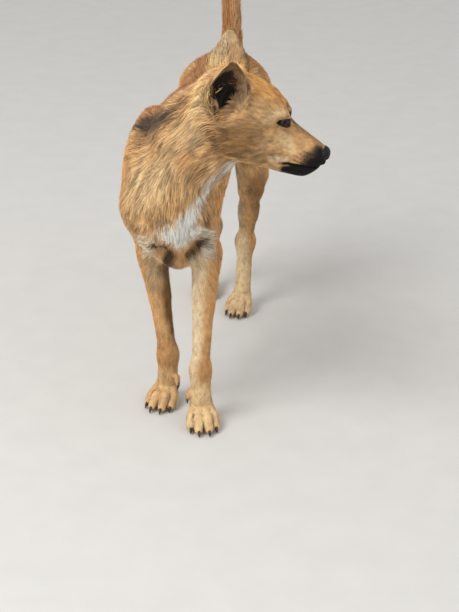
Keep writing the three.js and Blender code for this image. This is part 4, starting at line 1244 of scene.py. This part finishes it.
def ear_lie(ear, p, way, length, lift):
    """The lie of the hair where it is on an ear: up its back, and in a fringe out of its cup."""
    radial, past, t, _, turn = ear.cup(p)
    on = smooth(7, 4, np.abs(radial)) * smooth(7, 4, past) * smooth(0.0, 0.2, t)
    inner = smooth(0.6, -0.6, radial)
    fringe = inner * smooth(0.75, 0.5, t) * smooth(30, 60, np.abs(turn))
    tassel = smooth(-55, -85, turn) * smooth(0.65, 0.4, t) * (1 - inner)
    rear = -ear.side * ear.fore
    across = np.where((turn > 0)[:, None], -rear, rear) * -0.9
    lie = mix(ear.up, across + 0.3 * ear.up + 0.5 * ear.open, 0.75 * fringe[:, None])
    back_length = mix(mix(15, 6, smooth(0.1, 0.9, t)), 20, tassel)
    cup_length = mix(mix(7, 4.5, smooth(0.5, 0.9, t)), mix(8, 13, smooth(-20, 20, turn)), fringe)
    back_lift = mix(mix(20, 10, smooth(0.2, 0.8, t)), 34, tassel)
    cup_lift = mix(8, 22, fringe)
    way = mix(way, lie, on[:, None])
    length = mix(length, mix(back_length, cup_length, inner), on)
    lift = mix(lift, mix(back_lift, cup_lift, inner), on)
    return way, length, lift


def wander(p, size, seed):
    """A vector that changes smoothly from place to place."""
    return np.column_stack([noise(p, size, seed + k) for k in range(3)])


TAIL_CALM = 0.12  # how much of the wandering is left on the tail


def coat_lie(p, n):
    """Direction, length, lift and width of the hair at places on the skin."""
    total = np.zeros((len(p), 5))
    weights = np.zeros(len(p))
    for row in GUIDE_ROWS:
        w = 1 / (((p - row[:3]) ** 2).sum(1) + GUIDE_SOFTNESS) ** 2
        total += w[:, None] * row[3:]
        weights += w
    total /= weights[:, None]
    way, length, lift = total[:, :3], total[:, 3], total[:, 4]
    for ear in EARS:
        way, length, lift = ear_lie(ear, p, way, length, lift)
    calm = mix(1, TAIL_CALM, smooth(470, 520, p[:, 2]) * smooth(230, 260, p[:, 1]))[:, None]
    way = unit(way) + calm * (0.12 * wander(p, 22, 5) + 0.07 * wander(p, 8, 15))
    return flat(way, n), length, np.radians(lift), WIDTH_LEAST + WIDTH_GROWTH * length


def bareness(p, n):
    """1 where no hair grows: lids, lips, nose, ear cups and the undersides of the paws."""
    h = HEAD.inward_points(p)
    lips = smooth(2.2, 1.2, mouth_away(h[:, 0], h[:, 2])) * (h[:, 0] > -4)
    nose = smooth(1.16, 1.06, np.linalg.norm((h - (71.5, 0, -32.5)) / (11, 14, 12), axis=1))
    soles = smooth(3.5, 1.5, p[:, 2]) * (n[:, 2] < -0.3)
    bare = [smooth(2.2, 1.2, lid_edge(h)), lips, nose, soles]
    for ear in EARS:
        radial, past, t, _, turn = ear.cup(p)
        close = (np.abs(radial) < 5) & (past < 5) & (t > 0.0) & (radial < -0.3)
        turn = turn / cup_width(t)
        deep = smooth(44, 30, turn) * smooth(-58, -44, turn) * smooth(0.90, 0.80, t)
        bare += [close * deep, ear.hollow(p)]
    return np.max(bare, axis=0)


# ---------------------------------------------------------------- materials


class Nodes:
    """A node material with one Principled shader."""

    def __init__(self, name, **sockets):
        self.material = bpy.data.materials.new(name)
        self.material.use_nodes = True
        self.tree = self.material.node_tree
        self.tree.nodes.clear()
        self.shader = self.add("ShaderNodeBsdfPrincipled")
        output = self.add("ShaderNodeOutputMaterial")
        self.link(self.shader.outputs["BSDF"], output.inputs["Surface"])
        for socket, value in sockets.items():
            self.shader.inputs[socket.replace("_", " ")].default_value = value

    def add(self, kind, **settings):
        node = self.tree.nodes.new(kind)
        for key, value in settings.items():
            if key in node.inputs:
                node.inputs[key].default_value = value
            else:
                setattr(node, key, value)
        return node

    def link(self, a, b):
        self.tree.links.new(a, b)

    def place(self, scale=(1, 1, 1)):
        """Object coordinates in metres, stretched by a scale."""
        source = self.add("ShaderNodeTexCoord")
        mapping = self.add("ShaderNodeMapping")
        mapping.inputs["Scale"].default_value = scale
        self.link(source.outputs["Object"], mapping.inputs["Vector"])
        return mapping.outputs["Vector"]

    def noise(self, size, detail=3.0, stretch=(1, 1, 1)):
        """Noise whose lumps are about one size across, in millimetres."""
        node = self.add("ShaderNodeTexNoise", Scale=1000 / size, Detail=detail)
        self.link(self.place(stretch), node.inputs["Vector"])
        return node.outputs["Fac"]

    def ramp(self, value, low, high, to_low, to_high):
        node = self.add("ShaderNodeMapRange")
        numbers = {"From Min": low, "From Max": high, "To Min": to_low, "To Max": to_high}
        for socket, number in numbers.items():
            node.inputs[socket].default_value = number
        self.link(value, node.inputs["Value"])
        return node.outputs["Result"]

    def painted(self):
        """The colour stored at the mesh's points."""
        return self.add("ShaderNodeVertexColor", layer_name="coat").outputs["Color"]

    def plain(self, colour):
        node = self.add("ShaderNodeRGB")
        node.outputs[0].default_value = (*colour, 1)
        return node.outputs[0]

    def mottle(self, size, least, most, detail=3.0, stretch=(1, 1, 1)):
        """Noise of a size (mm) between two values."""
        return self.ramp(self.noise(size, detail, stretch), 0.3, 0.7, least, most)

    def tint(self, colour, factor):
        """Sets the base colour to a colour multiplied by a grey factor."""
        node = self.add("ShaderNodeVectorMath", operation="SCALE")
        self.link(colour, node.inputs[0])
        self.link(factor, node.inputs["Scale"])
        self.link(node.outputs["Vector"], self.shader.inputs["Base Color"])

    def roughen(self, size, least, most):
        """Sets the roughness to noise of a size (mm) between two values."""
        self.link(self.mottle(size, least, most), self.shader.inputs["Roughness"])

    def bump(self, height, distance):
        node = self.add("ShaderNodeBump", Strength=1.0, Distance=distance)
        self.link(height, node.inputs["Height"])
        self.link(node.outputs["Normal"], self.shader.inputs["Normal"])


def coat_material(name, grain, depth):
    m = Nodes(name, Specular_IOR_Level=0.25)
    m.tint(m.painted(), m.ramp(m.noise(grain, 4), 0.25, 0.75, 0.86, 1.12))
    m.roughen(grain * 3, 0.62, 0.8)
    m.bump(m.noise(grain * 0.7, 3), depth)
    return m.material


def eye_material():
    m = Nodes("eye", Roughness=0.3, Coat_Weight=0.4, Coat_Roughness=0.02, Specular_IOR_Level=0.05)
    m.tint(m.painted(), m.mottle(0.5, 0.8, 1.2))
    return m.material


def nose_material():
    m = Nodes("nose_leather", Specular_IOR_Level=0.25)
    pebbles = m.add("ShaderNodeTexVoronoi", Scale=900.0)
    m.link(m.place(), pebbles.inputs["Vector"])
    shade = m.ramp(pebbles.outputs["Distance"], 0.0, 0.7, 1.3, 0.55)
    m.tint(m.plain(rgb(28, 25, 25)), shade)
    m.roughen(2.5, 0.3, 0.5)
    m.bump(shade, 0.0004)
    return m.material


def horn_material():
    m = Nodes("claw_horn", Coat_Weight=0.15, Coat_Roughness=0.3)
    m.tint(m.plain(rgb(40, 34, 30)), m.mottle(2.2, 0.55, 1.6, 4, (1, 1, 0.4)))
    m.roughen(1.2, 0.3, 0.5)
    m.bump(m.noise(1.0, 3), 0.00025)
    return m.material


def floor_material():
    m = Nodes("floor", Roughness=0.9, Specular_IOR_Level=0.1)
    m.tint(m.plain(rgb(214, 212, 208)), m.mottle(60, 0.98, 1.02))
    return m.material


# ---------------------------------------------------------------- the skin piece

NOT_FLESH = ("claw", "eye", "nose")
FLESH = sorted(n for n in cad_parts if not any(word in n for word in NOT_FLESH))
UNDER_COAT = 0.92  # the skin is a little darker than the tufts that grow from it

skin_points = read(skin_mesh.vertices, "co", 3)
skin_mesh.vertices.foreach_set("co", metres(skin_points).ravel())
skin_mesh.update()
skin_mesh.shade_smooth()
skin = piece("skin", skin_mesh, coat_material("skin", 1.2, 0.0006), "coat", *FLESH)
skin_normals = unit(read(skin_mesh.vertex_normals, "vector", 3))
paint(skin_mesh, coat_colour(skin_points, skin_normals) * UNDER_COAT)


def unwrap(thing):
    """Lays the skin out flat in patches, as the map that the coat's tufts share."""
    thing.data.uv_layers.new(name="OFBake")
    bpy.context.view_layer.objects.active = thing
    thing.select_set(True)
    bpy.ops.object.mode_set(mode="EDIT")
    bpy.ops.mesh.select_all(action="SELECT")
    bpy.ops.uv.smart_project(angle_limit=math.radians(75), island_margin=0.001)
    bpy.ops.object.mode_set(mode="OBJECT")
    thing.select_set(False)


unwrap(skin)

# ---------------------------------------------------------------- the coat

skin_mesh.calc_loop_triangles()
TRIANGLES = read(skin_mesh.loop_triangles, "vertices", 3, np.int32)
TRIANGLE_LOOPS = read(skin_mesh.loop_triangles, "loops", 3, np.int32)
SKIN_UV = read(skin_mesh.uv_layers["OFBake"].data, "uv", 2)
corners = skin_points[TRIANGLES]
AREAS = np.linalg.norm(np.cross(corners[:, 1] - corners[:, 0], corners[:, 2] - corners[:, 0]), axis=1) / 2
middles = corners.mean(1)
middle_normals = unit(skin_normals[TRIANGLES].mean(1))
_, mid_length, _, mid_width = coat_lie(middles, middle_normals)


# Where the regions of the coat end, in the dog's frame.
TAIL_BACK, TAIL_UP = 262, 478
NECK_BACK, BODY_DOWN, FRONT_LEGS_BACK = -150, 330, 20
PAW_REACH = 70
EAR_NEAR, EAR_FOOT = 5, 0.12  # off the sheet (mm), and as a share of the ear's length


def regions(p):
    """The regions of the coat, as masks of the triangles with these middles."""
    x, y, z = p.T
    head = (p - NAPE) @ NAPE_NORMAL > 0
    ears = np.zeros(len(p), bool)
    for ear in EARS:
        radial, past, t, _ = ear.sheet(x, y, z)
        ears |= (np.abs(radial) < EAR_NEAR) & (past < EAR_NEAR) & (t > EAR_FOOT)
    tail = (z > TAIL_UP) & (y > TAIL_BACK) & ~head
    paws = {}
    for name, leg in LEGS.items():
        close = np.hypot(*(p[:, :2] - leg["paw"]).T) < PAW_REACH
        paws[f"paw_{name}"] = (z < ANKLE) & close
    legs = ~head & (z <= BODY_DOWN) & ~np.any(list(paws.values()), axis=0)
    body = ~head & ~tail & (z > BODY_DOWN)
    return {
        "ears": ears,
        "head": head & ~ears,
        "tail": tail,
        "neck": body & (y < NECK_BACK),
        "trunk": body & (y >= NECK_BACK),
        "legs_front": legs & (y < FRONT_LEGS_BACK),
        "legs_hind": legs & (y >= FRONT_LEGS_BACK),
        **paws,
    }


# How many tufts deep the coat lies, and how strongly neighbours along the lie share a shade.
COVER = dict(ears=2.3, head=2.4, tail=2.8, neck=2.5, trunk=1.85, legs_front=1.35, legs_hind=1.35)
STREAKS = dict(ears=0.10, head=0.17, tail=0.06, neck=0.16, trunk=0.10, legs_front=0.12, legs_hind=0.12)
PAW_COVER, PAW_STREAKS = 1.5, 0.10
TUFT_AREA = 0.55  # the area that a tuft covers, over its length times its width
REGIONS = regions(middles)
density = (1 - bareness(middles, middle_normals)) / (mid_length * mid_width * TUFT_AREA)
for region, chosen in REGIONS.items():
    density = np.where(chosen, density * COVER.get(region, PAW_COVER), density)
TUFT_COUNTS = AREAS * density  # the tufts that grow on each triangle of the skin


def scatter(chosen, rng):
    """Roots spread evenly over the chosen triangles, with their normals and places on the map."""
    mass = np.cumsum(TUFT_COUNTS * chosen)
    count = int(mass[-1])
    t = np.searchsorted(mass, (np.arange(count) + rng.random(count)) * mass[-1] / count)
    t = np.minimum(t, len(mass) - 1)
    a, b = rng.random((2, count))
    flip = a + b > 1
    a, b = np.where(flip, 1 - a, a), np.where(flip, 1 - b, b)
    w = np.column_stack([1 - a - b, a, b])[:, :, None]
    roots = (skin_points[TRIANGLES[t]] * w).sum(1)
    normals = unit((skin_normals[TRIANGLES[t]] * w).sum(1))
    return roots, normals, (SKIN_UV[TRIANGLE_LOOPS[t]] * w).sum(1)


ROOT_SUNK = 0.7  # how deep a tuft starts below the skin (mm)
DIP, CLIMB = 0.35, 0.6  # how far a tuft may turn down or up to keep its height, over its step


def tuft_path(roots, normals, way, length, lift, joints, field):
    """Points, directions and up directions along each tuft, held just above the skin."""
    path, ways, ups = [roots - normals * ROOT_SUNK], [way], [normals]
    place, up = roots, normals
    step = length / joints
    for j in range(1, joints + 1):
        s = j / joints
        place = place + way * step[:, None]
        height = length * np.sin(lift) * s * (1.25 - 0.25 * s)
        now, slope = field.sample(place)
        slope = unit(slope)
        change = np.clip(height - now, -DIP * step, CLIMB * step)
        place = place + slope * change[:, None]
        up = unit(up + slope)
        if j < joints:
            way = flat(unit(way + coat_lie(place, up)[0]), up)
        path.append(place)
        ways.append(way)
        ups.append(up)
    return path, ways, ups


STREAK_STEP, STREAK_WIDTH = 0.14, 3.4  # step along the lie, over a tuft's length, and width (mm)
SHADE_SPREAD, WARMTH_SPREAD = 0.16, 0.03


def shades(roots, way, length, colour, streaks, rng):
    """The colour of each tuft, lighter or darker than the markings; neighbours along the lie agree."""
    along_lie = [roots + way * (k * STREAK_STEP * length)[:, None] for k in range(-3, 4)]
    streak = sum(noise(place, STREAK_WIDTH, 11) for place in along_lie)
    shade = (rng.normal(1, SHADE_SPREAD, len(roots)) + streaks * streak).clip(0.5, 1.5)
    warm = rng.normal(0, WARMTH_SPREAD, len(roots))
    return colour * shade[:, None] * np.column_stack([1 + warm, np.ones(len(roots)), 1 - warm])


def tuft_faces(joints):
    """The triangles of one tuft: a triangle at each joint but the last, which is the tip."""
    tip = 3 * joints
    faces = [(0, 2, 1)]
    for a in range(0, tip - 3, 3):
        for k, m in ((0, 1), (1, 2), (2, 0)):
            faces += [(a + k, a + m, a + m + 3), (a + k, a + m + 3, a + k + 3)]
    return np.array(faces + [(tip - 3, tip - 2, tip), (tip - 2, tip - 1, tip), (tip - 1, tip - 3, tip)])


THICK = 0.42  # thickness of a tuft over its width
PATCH = 0.003  # size of a tuft on the map
PROFILES = {1: (1.0,), 2: (0.8, 1.0)}  # width at each joint of a tuft
# the darker root is painted shade, where a tuft lies under the tufts over it
ROOT_SHADE, TIP_TONE, POINT_TONE = 0.79, 1.07, 1.15  # a tuft is darkest at its root
STRAY = 0.08  # how far tufts turn away from the lie
LENGTHS, LIFTS, WIDTHS = (0.7, 1.15), (0.3, 1.5), (0.75, 1.2)  # least and most, over the lie's
COLOUR_REACH = 0.2  # how far from its root a tuft takes its colour, over its length


def tufts(name, chosen, seed, joints, field, streaks, material):
    """A mesh of tufts on the chosen triangles."""
    rng = np.random.default_rng(seed)
    roots, normals, uv = scatter(chosen, rng)
    count = len(roots)
    way, length, lift, width = coat_lie(roots, normals)
    way = flat(unit(way + STRAY * rng.normal(0, 1, (count, 3))), normals)
    length = length * rng.uniform(*LENGTHS, count)
    lift = lift * rng.uniform(*LIFTS, count)
    width = width * rng.uniform(*WIDTHS, count)
    path, ways, ups = tuft_path(roots, normals, way, length, lift, joints, field)
    mixed = roots + rng.normal(0, 1, (count, 3)) * (length * COLOUR_REACH)[:, None]
    colour = shades(roots, way, length, coat_colour(mixed, normals), streaks, rng)
    points, colours, directions, uvs = [], [], [], []
    for j in range(joints):
        across = np.cross(ways[j], ups[j])
        half = (width * PROFILES[joints][j] / 2)[:, None]
        for offset in (across * half, -across * half, ups[j] * (half * 2 * THICK)):
            points.append(path[j] + offset)
            directions.append(ups[j] * 1.2 + unit(offset))
            # painted shade: each joint is darker the nearer it is to the root
            colours.append(colour * mix(ROOT_SHADE, TIP_TONE, j / joints))
            uvs.append(uv + PATCH * np.array([0.1 + 0.8 * j / joints, 0.5]) - PATCH / 2)
    points.append(path[joints])
    directions.append(ups[joints])
    colours.append(colour * POINT_TONE)
    uvs.append(uv + PATCH * 0.4)

    def rows(parts):
        return np.stack(parts, 1).reshape(count * len(points), -1)

    first = np.arange(count) * len(points)
    triangles = (tuft_faces(joints)[None] + first[:, None, None]).reshape(-1, 3)
    mesh = mesh_of_triangles(name, rows(points), triangles, rows(uvs))
    paint(mesh, rows(colours).clip(0, 1))
    mesh.normals_split_custom_set_from_vertices(unit(rows(directions)))
    piece(name, mesh, material, "coat")


LONG = 13.0  # tufts longer than this have a bend in them
FEWEST, MOST = 400, 190000  # triangles: what is too few for a piece, and where a piece is split


def region_tufts(number, region, chosen, material):
    """The coat of a region, in pieces of short and long tufts."""
    field = head_field if region in ("head", "ears") else paw_fields.get(region[4:], body_field)
    for size, wanted, joints in (("short", mid_length <= LONG, 1), ("long", mid_length > LONG, 2)):
        counts = TUFT_COUNTS * (chosen & wanted)
        total = counts.sum() * len(tuft_faces(joints))
        if total < FEWEST:
            continue
        shares = int(total // MOST) + 1
        cuts = np.linspace(0, 1, shares + 1)
        order = np.cumsum(counts)
        order /= order[-1]
        for k in range(shares):
            share = chosen & wanted & (order > cuts[k]) & (order <= cuts[k + 1])
            name = f"coat_{region}_{size}" + (f"_{k + 1}" if shares > 1 else "")
            seed = SEED + 10 * number + joints * 3 + k
            tufts(name, share, seed, joints, field, STREAKS.get(region, PAW_STREAKS), material)


coat = coat_material("coat", 2.5, 0.0003)
for number, (region, chosen) in enumerate(REGIONS.items()):
    region_tufts(number, region, chosen, coat)

# ---------------------------------------------------------------- eyes


def volume_sign(points, triangles):
    a, b, c = points[triangles.T] - points.mean(0)
    return np.sign((a * np.cross(b, c)).sum())


def ring_mesh(name, rings, start, end):
    """A closed mesh from rings of points (mm), each with the same count, between two end points."""
    count, total = len(rings[0]), len(rings) * len(rings[0])
    last = total - count
    edges = [(k, (k + 1) % count) for k in range(count)]
    faces = []
    for a in range(0, last, count):
        b = a + count
        for k, m in edges:
            faces += [(a + k, a + m, b + m), (a + k, b + m, b + k)]
    for k, m in edges:
        faces += [(total, m, k), (total + 1, last + k, last + m)]
    faces = np.array(faces)
    points = np.concatenate([*rings, [start, end]])
    along_map = np.repeat(np.linspace(0.02, 0.98, len(rings)), count)
    round_map = np.tile(np.linspace(0.02, 0.98, count), len(rings))
    uv = np.column_stack([np.append(round_map, [0.5, 0.5]), np.append(along_map, [0.0, 1.0])])
    if volume_sign(points, faces) < 0:
        faces = faces[:, ::-1]
    return mesh_of_triangles(name, points, faces, uv), points


CORNEA_ANGLE = 36.0  # half the width of the clear front of the eye, in degrees at its middle
CORNEA_RISE = 0.9
EYE_GAP = 0.15  # between the ball and the inside of the lids
GAZE = (0.66, 0.75, 0.06)  # where the left eye looks
# What each ring of the eye's colour starts and ends at, in degrees from the middle of its front.
PUPIL_EDGE, IRIS_EDGE, WHITE_EDGE = (13, 16), (29, 33), (42, 56)
PUPIL, IRIS, IRIS_RIM, EYE_BACK = rgb(8, 6, 5), rgb(50, 29, 16), rgb(12, 9, 8), rgb(34, 24, 20)


def eyeball(side, word, material):
    gaze = HEAD.vector(*unit((GAZE[0], side * GAZE[1], GAZE[2])))
    right = unit(np.cross(gaze, HEAD.vector(0, 0, 1)))
    over = np.cross(right, gaze)
    middle = HEAD.out(EYE_AT[0], side * EYE_AT[1], EYE_AT[2])
    turns = np.linspace(0, 2 * math.pi, 48, endpoint=False)
    circle = np.outer(np.cos(turns), right) + np.outer(np.sin(turns), over)
    rings = []
    for angle in np.radians(np.concatenate([np.linspace(1, 44, 30), np.linspace(48, 178, 30)])):
        rise = CORNEA_RISE * smooth(CORNEA_ANGLE, 12, math.degrees(angle))
        r = EYE_RADIUS - EYE_GAP + rise
        rings.append(middle + r * (math.cos(angle) * gaze + math.sin(angle) * circle))
    front, back = middle + (EYE_RADIUS + CORNEA_RISE) * gaze, middle - EYE_RADIUS * gaze
    mesh, points = ring_mesh(f"eyeball_{word}", rings, front, back)
    off = np.degrees(np.arccos(np.clip(unit(points - middle) @ gaze, -1, 1)))
    iris = IRIS * (1 + 0.25 * noise(points, 0.8, 9))[:, None]
    colour = np.tile(PUPIL, (len(points), 1))
    for tint, edge in ((iris, PUPIL_EDGE), (IRIS_RIM, IRIS_EDGE), (EYE_BACK, WHITE_EDGE)):
        colour = mix(colour, tint, smooth(*edge, off)[:, None])
    paint(mesh, colour)
    piece(f"eyeball_{word}", mesh, material, "eyes", f"eye_{word}")


eye = eye_material()
eyeball(1, "left", eye)
eyeball(-1, "right", eye)

# ---------------------------------------------------------------- nose

nose_pad = union(
    4,
    muscle((69, 0, -34), (10.5, 12.5, 10.5)),
    both_sides(lambda s: muscle((70, s * 7.5, -35), (8.5, 6.5, 7.5))),
    bone((71, 0, -38), (70, 0, -45), 7, 5.5),
)
nostrils = both_sides(lambda s: bone((81, s * 5.0, -31.5), (74, s * 14.5, -35.5), 2.7, 1.5))
nose_pad = carve(1.5, nose_pad, nostrils)
nose_pad = carve(1.2, nose_pad, bone((83, 0, -33), (79, 0, -46), 0.8, 0.9))
nose_pad = in_frame(HEAD, nose_pad)
NOSE_VOXEL = 0.55
NOSE_MAP = 60  # width that the nose's map spans (mm)


def surface_mesh(name, form, voxel):
    low, high = form.low - 2 * voxel, form.high + 2 * voxel
    axes = [np.arange(a, b, voxel, dtype=F32) for a, b in zip(low, high)]
    points, _, quads = zero_surface(form.distance(*np.ix_(*axes)), low, voxel)
    triangles = np.concatenate([quads[:, [0, 1, 2]], quads[:, [0, 2, 3]]])
    uv = HEAD.inward_points(points)[:, 1:] / NOSE_MAP + (0.5, 1.05)
    return mesh_of_triangles(name, points, triangles, uv)


nose = surface_mesh("nose_leather", nose_pad, NOSE_VOXEL)
piece("nose_leather", nose, nose_material(), "nose_leather", "nose")

# ---------------------------------------------------------------- claws


def claw_line(leg, toe):
    foot = paw_frame(leg)
    reach, across = toe_place(leg, toe)
    return [
        (*foot.out(reach, across * 1.06, 9), 3.4),
        (*foot.out(reach + 7, across * 1.08, 8.5), 3.0),
        (*foot.out(reach + 10.5, across * 1.10, 5), 2.2),
        (*foot.out(reach + 12, across * 1.11, 1.8), 0.8),
    ]


CLAW_SECTION = (0.82, 1.02)  # half width and half depth of a claw over its radius
CLAW_LEAST = 0.3  # least radius of a claw (mm)
CLAW_POINT = 0.4  # how far the point stands past the last ring


def claw_mesh(name, line):
    """A smooth curved claw, deeper than it is wide, through points with radii."""
    spine = curve(line, 13)
    ahead = unit(np.gradient(spine[:, :3], axis=0))
    across = unit(np.cross(ahead, (0, 0, 1)))
    over = np.cross(across, ahead)
    turns = np.linspace(0, 2 * math.pi, 14, endpoint=False)
    wide, deep = CLAW_SECTION[0] * np.cos(turns), CLAW_SECTION[1] * np.sin(turns)
    sections = [np.outer(wide, x) + np.outer(deep, y) for x, y in zip(across, over)]
    rings = [c[:3] + max(c[3], CLAW_LEAST) * section for c, section in zip(spine, sections)]
    return ring_mesh(name, rings, spine[0, :3], spine[-1, :3] + ahead[-1] * CLAW_POINT)[0]


horn = horn_material()
for name, leg in LEGS.items():
    for i, toe in enumerate(TOES, 1):
        claw = f"claw_{name}_{i}"
        piece(f"horn_{name}_{i}", claw_mesh(claw, claw_line(leg, toe)), horn, "claws", claw)
    if "wrist" in leg:
        root, tip, point = dewclaw_line(leg)
        line = [(*root, 3.0), (*tip, 3.0), (*mix(tip, point, 0.6), 2.0), (*point, 0.6)]
        piece(f"horn_dew_{name}", claw_mesh("dew", line), horn, "claws", f"dewclaw_{name}")

# ---------------------------------------------------------------- floor, light and camera


def floor(side, thick):
    corners = [(x * side, y * side, z) for z in (-thick, 0) for y in (-1, 1) for x in (-1, 1)]
    faces = [(0, 2, 3, 1), (4, 5, 7, 6), (0, 1, 5, 4), (2, 6, 7, 3), (0, 4, 6, 2), (1, 3, 7, 5)]
    mesh = mesh_from("floor", corners, faces)
    mesh.materials.append(floor_material())
    thing = bpy.data.objects.new("floor", mesh)
    bpy.context.scene.collection.objects.link(thing)


def lamp(name, at, aim, size, power):
    data = bpy.data.lights.new(name, "AREA")
    data.shape, data.size, data.energy = "DISK", size, power
    thing = bpy.data.objects.new(name, data)
    thing.location = at
    thing.rotation_euler = (Vector(aim) - Vector(at)).to_track_quat("-Z", "Y").to_euler()
    bpy.context.scene.collection.objects.link(thing)


floor(6.0, 0.02)
lamp("key", (-1.6, -1.8, 3.0), (0, 0, 0.3), 2.0, 70)
lamp("fill", (2.4, -1.2, 2.2), (0, 0, 0.3), 2.5, 10)
lamp("low", (-0.9, -2.4, 0.7), (0, -0.2, 0.35), 1.6, 5)
lamp("catch", (-0.6, -2.4, 1.9), (0, -0.3, 0.5), 0.16, 5)

SKY = 0.66
world = bpy.data.worlds.new("studio")
world.use_nodes = True
sky = world.node_tree.nodes["Background"].inputs
sky["Color"].default_value = (1.0, 1.0, 1.0, 1)
sky["Strength"].default_value = SKY

CAMERA_AT = (0.3899, -2.4570, 1.2641)
CAMERA_YAW, CAMERA_PITCH, CAMERA_ROLL = 9.569, 24.962, 0.803  # degrees: to the left, down, and tilt
CAMERA_LENS, CAMERA_SENSOR = 92.63, 36.0
camera_data = bpy.data.cameras.new("camera")
camera_data.lens, camera_data.sensor_width = CAMERA_LENS, CAMERA_SENSOR
camera = bpy.data.objects.new("camera", camera_data)
camera.matrix_world = (
    Matrix.Translation(CAMERA_AT)
    @ Matrix.Rotation(math.radians(CAMERA_YAW), 4, "Z")
    @ Matrix.Rotation(math.radians(90 - CAMERA_PITCH), 4, "X")
    @ Matrix.Rotation(math.radians(CAMERA_ROLL), 4, "Z")
)
scene = bpy.context.scene
scene.collection.objects.link(camera)
scene.world, scene.camera = world, camera
scene.view_settings.view_transform = "Standard"
